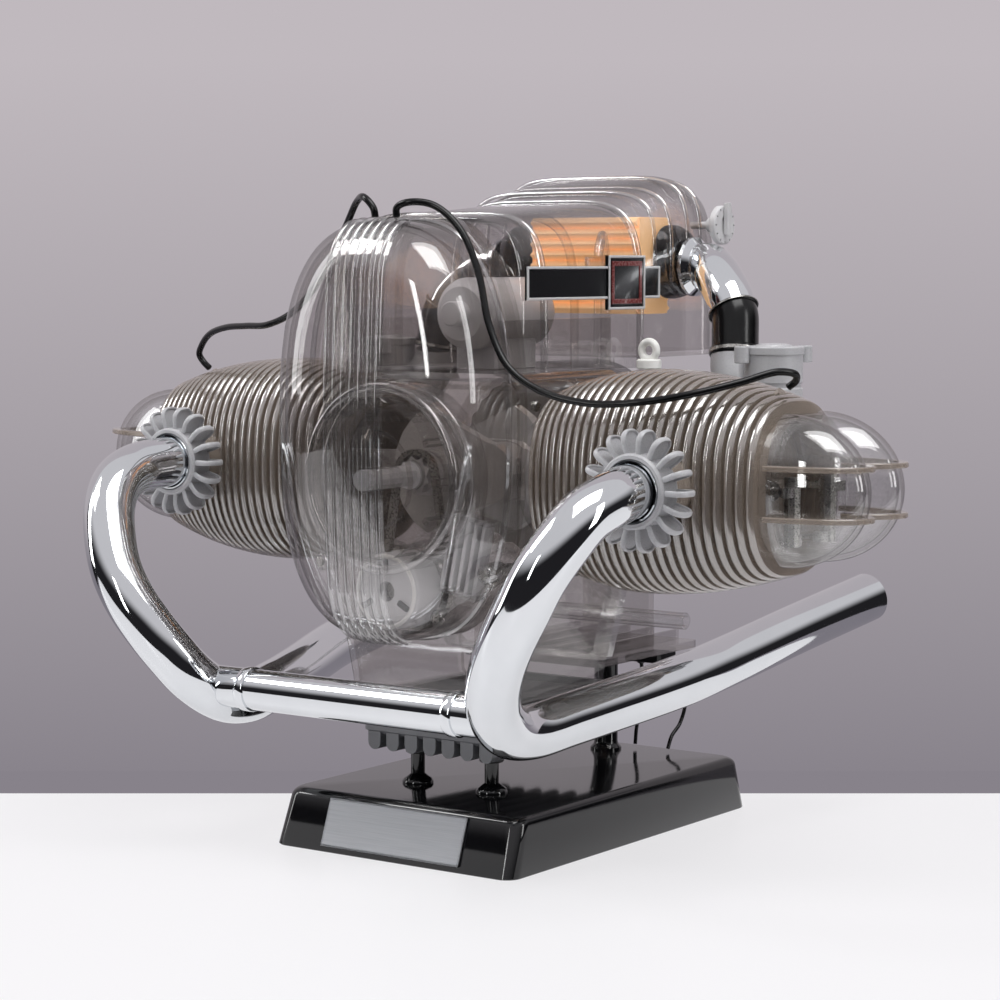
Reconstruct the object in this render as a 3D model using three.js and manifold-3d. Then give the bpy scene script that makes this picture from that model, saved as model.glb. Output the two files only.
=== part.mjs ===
// Half-scale working model of an air-cooled flat-twin four-stroke engine, on its display stand.
// Millimetres, +Z up, -Y to the front of the engine, origin at the middle of the stand's underside.
// "Right" is the +X side, which is on the viewer's right when the front cover faces the viewer.
// Every right-hand piece is drawn once for a cylinder standing at axisY, and the left-hand one is its
// mirror image.

import * as THREE from 'three';
import Module from 'manifold-3d';
import { mergeVertices } from 'three/addons/utils/BufferGeometryUtils.js';

// General clearances and drawing values
const gap = 0.3;
const runningGap = 0.3;
const overrun = 1;
const weldDistance = 0.0001;
const roundSides = 12;
const smallSides = 8;
const boreSides = 6;
const finSides = 12;
const coverSides = 20;

// Crank train
const crankHeight = 147;
const stroke = 35.3;
const crankThrow = stroke / 2;
const bore = 45;
const pinLength = 9;
const webThickness = 5;
const stagger = pinLength + webThickness;
const twinMiddleY = -30;
const rightAxisY = twinMiddleY - stagger / 2;
const leftAxisY = twinMiddleY + stagger / 2;
const mainJournalRadius = 8;
const bigEndRadius = 11.5;
const webBossRadius = 12;
const counterweightRadius = 27;
const counterweightAngle = 1.15;
const noseRadius = 4;
const frontJournalRadius = 5.5;

// Camshaft and its chain
const camDrop = 43;
const camHeight = crankHeight - camDrop;
const camShaftRadius = 3.5;
const camBaseRadius = 5;
const camNoseRadius = 7.6;
const camNoseTipRadius = 2;
const camLobeWidth = 3;
const sprocketWidth = 3;
const crankSprocketTeeth = 9;
const camSprocketTeeth = 2 * crankSprocketTeeth;
const toothPitch = 4.65;
const toothHeight = 1.6;
const chainThickness = 2.2;

// Stand
const standLength = 172.5;
const standWidth = 115;
const standHeight = 22;
const standWall = 2.5;
const standCorner = 6;
const standEdge = 3;
const frontSlope = 8;
const rearSlope = 5;
const sideSlope = 1.5;
const floorPlate = 2.4;
const frontPostX = 18;
const frontPostY = -43.5;
const frontPostRadius = 2.8;
const rearPostY = 65;
const rearPostRadius = 5;
const bossRadius = 4;
const labelWidth = 66;
const labelHeight = 19;
const labelThickness = 0.8;

// Oil pan
const panBottom = 37;
const panTop = 58;
const panHalfWidth = 33;
const panFront = -60;
const panRear = 28;
const panWall = 2.5;
const panFinPitch = 9;
const panFinRadius = 3;
const panFinCount = 7;
const panPadRadius = 4.4;

// Crankcase, with the walls that carry the shafts
const caseFront = -62;
const caseRear = 8;
const caseTopRise = 39;
const caseTop = crankHeight + caseTopRise;
const caseHalfWidth = 46;
const caseFootHalfWidth = 36;
const caseWaistDrop = 37;
const caseWaistHeight = crankHeight - caseWaistDrop;
const caseWall = 3;
const caseFrontWall = 2;
const rearFlangeDepth = 4;
const rearFlangeLip = 4;
const deckRadius = 24.6;
const deckStep = 4;
const deckX = caseHalfWidth + deckStep;
const dipstickReach = 9.2;
const dipstickX = caseHalfWidth + dipstickReach;
const dipstickSet = 2.6;
const dipstickY = caseRear + dipstickSet;
const dipstickBossRadius = 4.6;
const dipstickBossLength = 30;
const dipstickRadius = 1.5;
const dipstickLength = 42;
const dipstickRingRadius = 3.4;

// Rear housing round the flywheel, with its floor and mounting tube
const housingRadius = 41;
const housingWall = 2.5;
const housingDepth = 50;
const housingRear = caseRear + housingDepth;
const housingHole = 17;
const trayRise = 8;
const trayHeight = panTop + trayRise;
const trayThickness = 3;
const trayHalfWidth = 34;
const trayOverhang = 26;
const trayRear = housingRear + trayOverhang;
const trayRibHeight = 3.5;
const trayRibThickness = 1.6;
const trayRibCount = 5;
const sideWebX = 27;
const mountTubeSet = 14;
const mountTubeY = caseRear + mountTubeSet;
const mountTubeRise = 20;
const mountTubeHeight = trayHeight + mountTubeRise;
const mountTubeRadius = 3.4;
const mountTubeBore = 2.2;
const mountTubeHalfLength = 66;
const flywheelRadius = 36.5;
const flywheelThickness = 8;
const flywheelSet = 4;
const flywheelFront = caseRear + flywheelSet;
const flywheelTeeth = 30;
const flywheelToothHeight = 1.4;
const balancePlugRadius = 3;
const balancePlugLength = 5;

// Timing chest, front cover and what stands between them
const coverWall = 2;
const chestDepth = 9.7;
const chestFront = caseFront - chestDepth;
const chestLip = 2;
const chestHalfWidth = caseHalfWidth + chestLip;
const chestHalfHeight = 81;
const chestRise = 18.5;
const chestMiddle = crankHeight + chestRise;
const frontCoverStep = 1;
const frontCoverHalfWidth = chestHalfWidth - frontCoverStep;
const frontCoverHalfHeight = chestHalfHeight - 2 * frontCoverStep;
const frontCoverMiddle = chestMiddle - frontCoverStep;
const frontCoverDepth = 33.3;
const frontCoverFace = chestFront - frontCoverDepth;
const frontCoverRound = 14;
const frontCoverCrown = 2;
const frontRibPitch = 4;
const frontRibWidth = 1.5;
const frontRibHeight = 1.8;
const frontRibCount = 7;
const statorOuter = 36;
const statorInner = 33;
const statorDepth = 19;
const rotorRadius = 31;
const rotorSet = 26.3;
const rotorFront = chestFront - rotorSet;
const rotorDepth = 17;
const rotorPoles = 12;
const pointsRadius = 15;
const pointsDepth = 15;
const ventWidth = 15;
const ventHeight = 29;
const ventDepth = 3;
const ventX = 22;
const ventRise = 16;
const ventMiddle = camHeight + ventRise;
const ventRibCount = 6;
const ventLean = 0.2;

// Covers on top: starter cover in front, airbox behind
const archHalfWidth = caseHalfWidth;
const archSquareness = 5;
const archOverhang = 12;
const archRear = caseRear + archOverhang;
const archRise = 60;
const archFrontTop = caseTop + archRise;
const archSwell = 6;
const archRearTop = archFrontTop + archSwell;
const archLip = 1.6;
const archLipDepth = 3;
const airboxRise = 4;
const airboxBottom = caseTop + airboxRise;
const airboxDepth = 70;
const airboxRear = archRear + airboxDepth;
const airPortSet = 37;
const airPortY = archRear + airPortSet;
const airPortRise = 36;
const airPortHeight = airboxBottom + airPortRise;
const airPortRadius = 8.5;
const filterSet = 13;
const filterFront = archRear + filterSet;
const filterDepth = 26;
const filterLeft = -18;
const filterRight = 35;
const filterRise = 17;
const filterBottom = airboxBottom + filterRise;
const filterHeight = 39;
const filterTop = filterBottom + filterHeight;
const pleatCount = 9;
const pleatDepth = 3;
const motorRadius = 14;
const motorLength = 56;
const motorRise = 22;
const motorHeight = caseTop + motorRise;
const motorSet = 16;
const motorFront = caseFront + motorSet;
const badgeLength = 92;
const badgeHeight = 12.6;
const badgeBlockLength = 26;
const badgeBlockHeight = 21;
const badgeThickness = 2;
const badgeSet = 2;
const badgeFront = caseFront - badgeSet;
const badgeRise = 34;
const badgeMiddle = caseTop + badgeRise;
const badgeFootShares = [0.2, 0.6];
const badgeBlockShare = 0.73;
const dialStand = 5;
const dialX = archHalfWidth + dialStand;
const dialSet = 50;
const dialY = archRear + dialSet;
const dialRise = 53;
const dialHeight = airboxBottom + dialRise;
const dialRadius = 8;
const dialThickness = 3;
const dialHubRadius = 3;
const dialBarLength = 13;
const dialBarThickness = 2.6;

// Cylinders, heads and rocker covers
const finPitch = 4.88;
const finThickness = 1.5;
const barrelFins = 11;
const headFins = 9;
const finPeak = 41.5;
const finPeakReach = 42;
const finPeakX = deckX + finPeakReach;
const finInner = 31;
const finInwardReach = 44;
const finOuter = 27;
const finOutwardReach = 68;
const finDepthShare = 0.97;
const finSquareness = 2.6;
const barrelCore = 28.5;
const barrelFoot = deckX + gap;
const barrelFootLength = 3;
const firstFinX = deckX + barrelFootLength;
const headFace = firstFinX + barrelFins * finPitch;
const headStart = headFace + gap;
const headEnd = headStart + headFins * finPitch;
const headCoreHalfHeight = 25.5;
const headCoreHalfDepth = 27;
const boreClearance = 0.35;
const chamberDepth = 9;
const wellDepth = 14;
const wellHalfHeight = 23;
const wellHalfDepth = 25;
const coverLobeY = 12.6;
const coverLobeHalfWidth = 15;
const coverHalfHeight = 27.5;
const coverLength = 33;
const coverRibHeight = 3;
const coverRibThickness = 1.4;
const coverRibOffset = 9;
const coverFlange = 3;

// Pistons and connecting rods
const pistonClearance = 0.35;
const pistonRadius = bore / 2 - pistonClearance + boreClearance / 2;
const crownHeight = 15;
const crownDrop = 6.53;
const rodLength = headFace - crownDrop - crownHeight - crankThrow;
const skirtLength = 13;
const crownThickness = 4;
const pistonWall = 2.2;
const ringGrooves = 2;
const grooveDepth = 0.8;
const grooveWidth = 1.2;
const groovePitch = 2.8;
const gudgeonRadius = 3;
const smallEndRadius = 6;
const rodThickness = 6;
const rodFootHalfHeight = 9.5;
const rodFootThickness = 3;
const rodShankShare = 0.45;

// Valve gear
const valveAngle = THREE.MathUtils.degToRad(14);
const valveSpread = 9;
const valveHeadRadius = 8;
const valveHeadEdge = 1.2;
const valveStemRadius = 1.6;
const valveLength = 43;
const valveSet = 4;
const valveSeatX = headStart + valveSet;
const retainerRadius = 3.4;
const retainerThickness = 1.6;
const rockerShaftY = 13.2;
const rockerShaftReach = 3.1;
const rockerShaftX = headEnd + rockerShaftReach;
const rockerHubRadius = 3;
const rockerHubTop = 5;
const rockerArmThickness = 3.6;
const rockerArmWidth = 3.6;
const pushrodY = 8;
const pushrodRadius = 1.3;
const pushrodInnerX = camNoseRadius + gap;
const pushrodStandOff = 3;
const pushrodOuterX = rockerShaftX - pushrodStandOff;
const pushrodDrop = 18;
const pushrodInnerHeight = camHeight;
const pushrodOuterHeight = crankHeight - pushrodDrop;
const tappetRadius = 1.7;
const tappetLength = 7;
const pushrodTubeRadius = 2.9;
const pushrodTubeBore = 2.1;

// Exhaust
const portReach = 7.82;
const portX = headStart + portReach;
const exhaustPortRise = 1;
const exhaustPortHeight = crankHeight + exhaustPortRise;
const exhaustPortReach = 53;
const exhaustRadius = 10;
const exhaustWall = 1.4;
const tailBoreDepth = 30;
const nutRadius = 22;
const nutHubRadius = 13.5;
const nutDepth = 11;
const nutPetals = 18;
const nutClearance = 1.5;
const nutBore = exhaustRadius + nutClearance;
const crossRadius = 7.9;
const crossY = -108;
const crossRise = 43;
const crossHeight = standHeight + crossRise;
const exhaustLowRise = 35.5;
const exhaustLowHeight = standHeight + exhaustLowRise;
const exhaustTail = 218;
const crossHalfLength = 66;
const portStubRadius = 11.4;
const portBore = 7;

// Intake
const carbShift = 14.8;
const carbX = portX - carbShift;
const carbY = 67;
const carbRise = 16;
const carbHeight = crankHeight + carbRise;
const carbBodyRadius = 10;
const carbDomeRadius = 11.5;
const carbDomeRise = 29;
const carbDomeTop = carbHeight + carbDomeRise;
const carbCapRise = 4.5;
const carbCapTop = carbDomeTop + carbCapRise;
const carbCapRadius = 12;
const carbLugReach = 17;
const carbLugRadius = 3;
const carbLugTurn = THREE.MathUtils.degToRad(60);
const carbBowlDrop = 20;
const carbBowlBottom = carbHeight - carbBowlDrop;
const carbBowlRadius = 10.5;
const carbFront = 49;
const hoseRadius = 10;
const airTubeRadius = 9.5;
const hoseReach = 21.4;
const hoseEndX = carbX - hoseReach;
const hoseEndY = 73.9;
const hoseEndRise = 28;
const hoseEndHeight = carbHeight + hoseEndRise;
const airBellRadius = 12;
const intakeStubRadius = 9;

// Leads and wires
const leadRadius = 1.35;
const wireRadius = 0.8;
const leadSpan = 100;
const supplyPlugX = 17;
const supplyPlugY = 73;
const supplyPlugWidth = 18;
const supplyPlugDepth = 14;
const supplyPlugHeight = 5.7;
const plugAngle = THREE.MathUtils.degToRad(40);
const plugThreadRadius = 2.6;
const plugHexRadius = 4.4;
const plugBodyRadius = 2.8;
const plugSet = 12.02;
const plugStartX = headStart + plugSet;
const plugStartRise = 15;
const plugLength = 30;
const plugWellRadius = 5.2;

const wasm = await Module();
wasm.setup();

// Solids and geometries
function facingOut(geometry) {
  const position = geometry.attributes.position;
  const index = geometry.index;
  const corners = [new THREE.Vector3(), new THREE.Vector3(), new THREE.Vector3()];
  let volume = 0;
  for (let i = 0; i < index.count; i += 3) {
    corners.forEach((corner, k) => corner.fromBufferAttribute(position, index.getX(i + k)));
    volume += corners[0].dot(corners[1].clone().cross(corners[2]));
  }
  if (volume < 0) {
    for (let i = 0; i < index.count; i += 3) {
      const kept = index.getX(i);
      index.setX(i, index.getX(i + 1));
      index.setX(i + 1, kept);
    }
  }
  return geometry;
}

function welded(geometry) {
  const bare = geometry.clone();
  bare.deleteAttribute('normal');
  bare.deleteAttribute('uv');
  return facingOut(mergeVertices(bare, weldDistance));
}

function solid(geometry) {
  const merged = welded(geometry);
  return new wasm.Manifold(new wasm.Mesh({
    numProp: 3,
    vertProperties: Float32Array.from(merged.attributes.position.array),
    triVerts: Uint32Array.from(merged.index.array),
  }));
}

function geometryOf(body) {
  const mesh = body.getMesh();
  const geometry = new THREE.BufferGeometry();
  geometry.setAttribute('position', new THREE.BufferAttribute(mesh.vertProperties, 3));
  geometry.setIndex(new THREE.BufferAttribute(mesh.triVerts, 1));
  return geometry;
}

function join(...bodies) {
  return bodies.reduce((sum, body) => sum.add(body));
}

function cut(body, ...tools) {
  return tools.reduce((left, tool) => left.subtract(tool), body);
}

function box(xFrom, xTo, yFrom, yTo, zFrom, zTo) {
  const geometry = new THREE.BoxGeometry(xTo - xFrom, yTo - yFrom, zTo - zFrom);
  return solid(geometry.translate((xFrom + xTo) / 2, (yFrom + yTo) / 2, (zFrom + zTo) / 2));
}

// A turned solid: outline holds [radius, distance along the axis] pairs and starts and ends at radius zero
function turned(outline, start, direction, sides = roundSides) {
  const profile = outline.map(([radius, along]) => new THREE.Vector2(radius, along));
  const geometry = new THREE.LatheGeometry(profile, sides);
  const turn = new THREE.Quaternion().setFromUnitVectors(
    new THREE.Vector3(0, 1, 0), direction.clone().normalize());
  return solid(geometry.applyQuaternion(turn).translate(start.x, start.y, start.z));
}

function rod(radius, from, to, sides = roundSides) {
  const reach = to.clone().sub(from);
  const length = reach.length();
  return turned([[0, 0], [radius, 0], [radius, length], [0, length]], from, reach, sides);
}

function extrudeAlongY(shape, yFrom, yTo, curveSegments = smallSides) {
  const geometry = new THREE.ExtrudeGeometry(shape,
    { depth: yTo - yFrom, bevelEnabled: false, curveSegments });
  return solid(geometry.rotateX(Math.PI / 2).translate(0, yTo, 0));
}

// The shape's x runs along Y and its y along Z
function extrudeAlongX(shape, xFrom, xTo, curveSegments = smallSides) {
  const geometry = new THREE.ExtrudeGeometry(shape,
    { depth: xTo - xFrom, bevelEnabled: false, curveSegments });
  const basis = new THREE.Matrix4().makeBasis(
    new THREE.Vector3(0, 1, 0), new THREE.Vector3(0, 0, 1), new THREE.Vector3(1, 0, 0));
  return solid(geometry.applyMatrix4(basis).translate(xFrom, 0, 0));
}

function polygon(points) {
  return new THREE.Shape(points.map(([x, y]) => new THREE.Vector2(x, y)));
}

function disc(radius, x = 0, y = 0) {
  return new THREE.Shape().absarc(x, y, radius, 0, 2 * Math.PI);
}

// A tube along a smooth curve through the given points
function tube(points, radius, steps, sides) {
  const path = new THREE.CatmullRomCurve3(points.map((p) => new THREE.Vector3(...p)), false, 'centripetal');
  return new THREE.ExtrudeGeometry(disc(radius), {
    steps, extrudePath: path, bevelEnabled: false, curveSegments: sides / 2,
  });
}

// A skin over rings of equal count, with flat ends
function loft(rings) {
  const sides = rings[0].length;
  const points = rings.flat();
  const faces = [];
  for (let r = 0; r < rings.length - 1; r++) {
    for (let k = 0; k < sides; k++) {
      const a = r * sides + k;
      const b = r * sides + (k + 1) % sides;
      faces.push(a, b, b + sides, a, b + sides, a + sides);
    }
  }
  for (const [start, turn] of [[0, true], [(rings.length - 1) * sides, false]]) {
    const middle = new THREE.Vector3();
    for (let k = 0; k < sides; k++) middle.addScaledVector(points[start + k], 1 / sides);
    points.push(middle);
    for (let k = 0; k < sides; k++) {
      const here = start + k;
      const next = start + (k + 1) % sides;
      faces.push(points.length - 1, turn ? next : here, turn ? here : next);
    }
  }
  const geometry = new THREE.BufferGeometry().setFromPoints(points);
  geometry.setIndex(faces);
  return solid(geometry);
}

// A point at angle on an oval that grows squarer as squareness rises above 2
function ovalPoint(halfAcross, halfUp, squareness, angle) {
  const power = 2 / squareness;
  const across = Math.cos(angle);
  const up = Math.sin(angle);
  return [
    halfAcross * Math.sign(across) * Math.abs(across) ** power,
    halfUp * Math.sign(up) * Math.abs(up) ** power,
  ];
}

function ovalAcrossX(x, middleY, middleZ, halfDepth, halfHeight, squareness, sides) {
  return Array.from({ length: sides }, (_, k) => {
    const [across, up] = ovalPoint(halfDepth, halfHeight, squareness, 2 * Math.PI * (k + 0.5) / sides);
    return new THREE.Vector3(x, middleY + across, middleZ + up);
  });
}

function ovalAcrossY(y, middleZ, halfWidth, halfHeight, squareness, sides) {
  return Array.from({ length: sides }, (_, k) => {
    const [across, up] = ovalPoint(halfWidth, halfHeight, squareness, 2 * Math.PI * (k + 0.5) / sides);
    return new THREE.Vector3(across, y, middleZ + up);
  });
}

// Materials, in the photographed colours
function finish(color, roughness, metalness, opacity = 1) {
  return new THREE.MeshStandardMaterial({ color, roughness, metalness, opacity, transparent: opacity < 1 });
}

const smoke = finish(0x9a9088, 0.08, 0, 0.45);
const finSmoke = finish(0x8a7d75, 0.12, 0, 0.6);
const clear = finish(0xc9c8c6, 0.06, 0, 0.4);
const black = finish(0x08080a, 0.12, 0);
const darkGrey = finish(0x4c4d50, 0.4, 0);
const grey = finish(0x9c9c9e, 0.4, 0);
const silver = finish(0xb9bbbe, 0.3, 0.6);
const steel = finish(0xa6a7a9, 0.3, 0.9);
const chrome = finish(0xe6e7e9, 0.05, 1);
const label = finish(0xa8aaae, 0.35, 0.3);
const badgeBlack = finish(0x141416, 0.3, 0);
const filterPaper = finish(0xe8b060, 0.8, 0);
const white = finish(0xf2f2f0, 0.35, 0);
const rubber = finish(0x101011, 0.5, 0);

const model = new THREE.Group();

function place(name, geometry, material) {
  geometry.computeVertexNormals();
  const mesh = new THREE.Mesh(geometry, material);
  mesh.name = name;
  model.add(mesh);
}

function add(name, body, material) {
  place(name, geometryOf(body), material);
}

// Places a right-hand piece, or its mirror image on the left
function addSide(name, side, body, material) {
  const geometry = geometryOf(body);
  if (side.sign < 0) {
    geometry.scale(-1, 1, 1);
    facingOut(geometry);
  }
  place(`${name}_${side.name}`, geometry, material);
}

function at(x, y, z) {
  return new THREE.Vector3(x, y, z);
}

const alongX = at(1, 0, 0);
const alongY = at(0, 1, 0);
const alongZ = at(0, 0, 1);

// Stand: a hollow black moulding with sloped walls, its floor plate, posts and label
function standRing(height, inset) {
  const rise = Math.min(height / standHeight, 1);
  const halfX = standWidth / 2 - sideSlope * rise - inset;
  const yFrom = -standLength / 2 + frontSlope * rise + inset;
  const yTo = standLength / 2 - rearSlope * rise - inset;
  const radius = standCorner;
  const corners = [
    [halfX - radius, yTo - radius, 0], [-halfX + radius, yTo - radius, 1],
    [-halfX + radius, yFrom + radius, 2], [halfX - radius, yFrom + radius, 3],
  ];
  const cornerSteps = 3;
  return corners.flatMap(([x, y, quarter]) => Array.from({ length: cornerSteps + 1 }, (_, k) => {
    const angle = (quarter + k / cornerSteps) * Math.PI / 2;
    return at(x + radius * Math.cos(angle), y + radius * Math.sin(angle), height);
  }));
}

function addStand() {
  const shoulder = standHeight - standEdge;
  const outer = loft([
    standRing(0, 0), standRing(shoulder, 0),
    standRing(standHeight - standEdge * (1 - Math.SQRT1_2), standEdge * (1 - Math.SQRT1_2)),
    standRing(standHeight, standEdge),
  ]);
  const inner = loft([standRing(0, standWall).map((p) => p.setZ(-overrun)), standRing(0, standWall),
    standRing(standHeight - standWall, standWall)]);
  const bosses = [];
  for (const x of [-1, 1]) {
    for (const y of [-1, 1]) {
      const bossX = x * (standWidth / 2 - 4 * bossRadius);
      const bossY = y * (standLength / 2 - 6 * bossRadius);
      bosses.push(rod(bossRadius, at(bossX, bossY, floorPlate),
        at(bossX, bossY, standHeight - standWall / 2), smallSides));
    }
  }
  const posts = [[-frontPostX, frontPostY], [frontPostX, frontPostY]].map(([x, y]) => turned([
    [0, 0], [frontPostRadius + standWall / 2, 0], [frontPostRadius + standWall / 2, 2 * standWall],
    [frontPostRadius, 2 * standWall], [frontPostRadius, panBottom - gap - standHeight + standWall],
    [0, panBottom - gap - standHeight + standWall],
  ], at(x, y, standHeight - standWall), alongZ, smallSides));
  const rearPost = rod(rearPostRadius, at(0, rearPostY, standHeight - standWall),
    at(0, rearPostY, trayHeight - gap));
  add('base_cover', join(cut(outer, inner), ...bosses, ...posts, rearPost), black);

  const plateInset = standWall + gap;
  add('base_plate', loft([standRing(0, plateInset), standRing(floorPlate, plateInset)]), black);

  const lean = Math.atan2(frontSlope, standHeight);
  const labelGeometry = new THREE.BoxGeometry(labelWidth, labelThickness, labelHeight);
  labelGeometry.rotateX(-lean);
  const off = gap + labelThickness / 2;
  labelGeometry.translate(0, -standLength / 2 + frontSlope / 2 - off * Math.cos(lean),
    standHeight / 2 + off * Math.sin(lean));
  add('name_plate', solid(labelGeometry), label);
}

// Oil pan: an open tray with rounded cooling fins along its underside, and pads over the front posts
function addOilPan() {
  const skinBottom = panBottom + 2 * panFinRadius;
  const shape = new THREE.Shape();
  shape.moveTo(panHalfWidth, panTop);
  shape.lineTo(-panHalfWidth, panTop);
  shape.lineTo(-panHalfWidth, skinBottom);
  for (let k = 0; k < panFinCount; k++) {
    const x = (k - (panFinCount - 1) / 2) * panFinPitch;
    shape.lineTo(x - panFinRadius, skinBottom);
    shape.absarc(x, panBottom + panFinRadius, panFinRadius, Math.PI, 2 * Math.PI, false);
    shape.lineTo(x + panFinRadius, skinBottom);
  }
  shape.lineTo(panHalfWidth, skinBottom);
  const body = extrudeAlongY(shape, panFront, panRear, 4);
  const hollow = box(-panHalfWidth + panWall, panHalfWidth - panWall, panFront + panWall, panRear - panWall,
    skinBottom + panWall, panTop + overrun);
  const pads = [-frontPostX, frontPostX].map((x) => rod(panPadRadius, at(x, frontPostY, panBottom),
    at(x, frontPostY, skinBottom + panWall), smallSides));
  add('oil_pan', cut(join(body, ...pads), hollow), darkGrey);
}

// Crankcase: a waisted box with end walls, cylinder decks, a rear flange and the boss for the dipstick
function caseOutline(inset, foot) {
  return polygon([
    [-caseFootHalfWidth + inset, foot], [caseFootHalfWidth - inset, foot],
    [caseFootHalfWidth - inset, panTop + 2 * caseWall + inset],
    [caseHalfWidth - inset, caseWaistHeight + inset / 2],
    [caseHalfWidth - inset, caseTop - 2 * caseWall - inset / 2],
    [caseHalfWidth - 2 * caseWall, caseTop - inset],
    [-caseHalfWidth + 2 * caseWall, caseTop - inset],
    [-caseHalfWidth + inset, caseTop - 2 * caseWall - inset / 2],
    [-caseHalfWidth + inset, caseWaistHeight + inset / 2],
    [-caseFootHalfWidth + inset, panTop + 2 * caseWall + inset],
  ]);
}

function addCrankcase() {
  const footTop = panTop + gap;
  const shell = extrudeAlongY(caseOutline(0, footTop), caseFront, caseRear);
  const hollow = extrudeAlongY(caseOutline(caseWall, footTop - overrun), caseFront + caseFrontWall,
    caseRear - caseWall);
  const flange = extrudeAlongY(polygon([
    [-caseFootHalfWidth - rearFlangeLip, panTop + 4 * caseWall],
    [caseFootHalfWidth + rearFlangeLip, panTop + 4 * caseWall],
    [caseHalfWidth + rearFlangeLip, caseWaistHeight], [caseHalfWidth, caseWaistHeight + 2 * rearFlangeLip],
    [-caseHalfWidth, caseWaistHeight + 2 * rearFlangeLip],
    [-caseHalfWidth - rearFlangeLip, caseWaistHeight],
  ]), caseRear - rearFlangeDepth, caseRear);
  const decks = [[rightAxisY, 1], [leftAxisY, -1]].map(([y, sign]) => rod(deckRadius,
    at(sign * (caseHalfWidth - caseWall), y, crankHeight), at(sign * deckX, y, crankHeight)));
  const bores = [[rightAxisY, 1], [leftAxisY, -1]].map(([y, sign]) => rod(bore / 2 + boreClearance,
    at(sign * (caseHalfWidth - 2 * caseWall), y, crankHeight),
    at(sign * (deckX + overrun), y, crankHeight)));
  const dipstickBoss = rod(dipstickBossRadius, at(dipstickX, dipstickY, caseTop - dipstickBossLength),
    at(dipstickX, dipstickY, caseTop), smallSides);
  const dipstickArm = box(caseHalfWidth - caseWall, dipstickX, caseRear - rearFlangeDepth, dipstickY,
    caseTop - dipstickBossLength, caseTop - 2 * caseWall);
  const dipstickHole = rod(dipstickRadius + gap, at(dipstickX, dipstickY,
    caseTop - dipstickBossLength - overrun), at(dipstickX, dipstickY, caseTop + overrun), smallSides);
  const crankHole = rod(mainJournalRadius + runningGap, at(0, caseFront - overrun, crankHeight),
    at(0, caseRear + overrun, crankHeight));
  const camHole = rod(camShaftRadius + runningGap, at(0, caseFront - overrun, camHeight),
    at(0, caseRear + overrun, camHeight), smallSides);
  const pushrodHoles = pushrodLines().map(([from, to]) => rod(pushrodTubeBore, from, to, smallSides));
  add('crankcase', cut(join(cut(join(shell, ...decks, flange), hollow), dipstickBoss, dipstickArm),
    ...bores, dipstickHole, crankHole, camHole, ...pushrodHoles), smoke);
}

// The four pushrod lines, from the camshaft out to the rockers, on both sides
function pushrodLine(axisY, sign, offset) {
  return [at(sign * pushrodInnerX, axisY + offset, pushrodInnerHeight),
    at(sign * pushrodOuterX, axisY + offset, pushrodOuterHeight)];
}

function pushrodLines() {
  return [[rightAxisY, 1], [leftAxisY, -1]].flatMap(([axisY, sign]) => [-pushrodY, pushrodY].map(
    (offset) => pushrodLine(axisY, sign, offset)));
}

// Rear housing: a round bell behind the crankcase, on a ribbed floor tray, with the cross tube for mounting
function addRearHousing() {
  const front = caseRear + gap;
  const bell = rod(housingRadius, at(0, front, crankHeight), at(0, housingRear, crankHeight),
    2 * smallSides);
  const hollow = rod(housingRadius - housingWall, at(0, front - overrun, crankHeight),
    at(0, housingRear - housingWall, crankHeight), 2 * smallSides);
  const hole = rod(housingHole, at(0, front, crankHeight), at(0, housingRear + overrun, crankHeight));
  const tray = box(-trayHalfWidth, trayHalfWidth, front, trayRear, trayHeight, trayHeight + trayThickness);
  const webs = [-1, 1].map((sign) => box(sign * sideWebX - trayThickness / 2,
    sign * sideWebX + trayThickness / 2,
    front, housingRear, trayHeight, crankHeight - housingRadius / 2));
  const ribs = Array.from({ length: trayRibCount }, (_, k) => {
    const x = (k - (trayRibCount - 1) / 2) * sideWebX / 2 * 0.9;
    return box(x - trayRibThickness / 2, x + trayRibThickness / 2, front, trayRear,
      trayHeight, trayHeight + trayThickness + trayRibHeight);
  });
  const mountTube = rod(mountTubeRadius, at(-mountTubeHalfLength, mountTubeY, mountTubeHeight),
    at(mountTubeHalfLength, mountTubeY, mountTubeHeight), smallSides);
  const mountBore = rod(mountTubeBore, at(-mountTubeHalfLength - overrun, mountTubeY, mountTubeHeight),
    at(mountTubeHalfLength + overrun, mountTubeY, mountTubeHeight), smallSides);
  add('rear_housing', cut(join(bell, tray, ...webs, ...ribs, mountTube), hollow, hole, mountBore), smoke);
}

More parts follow.
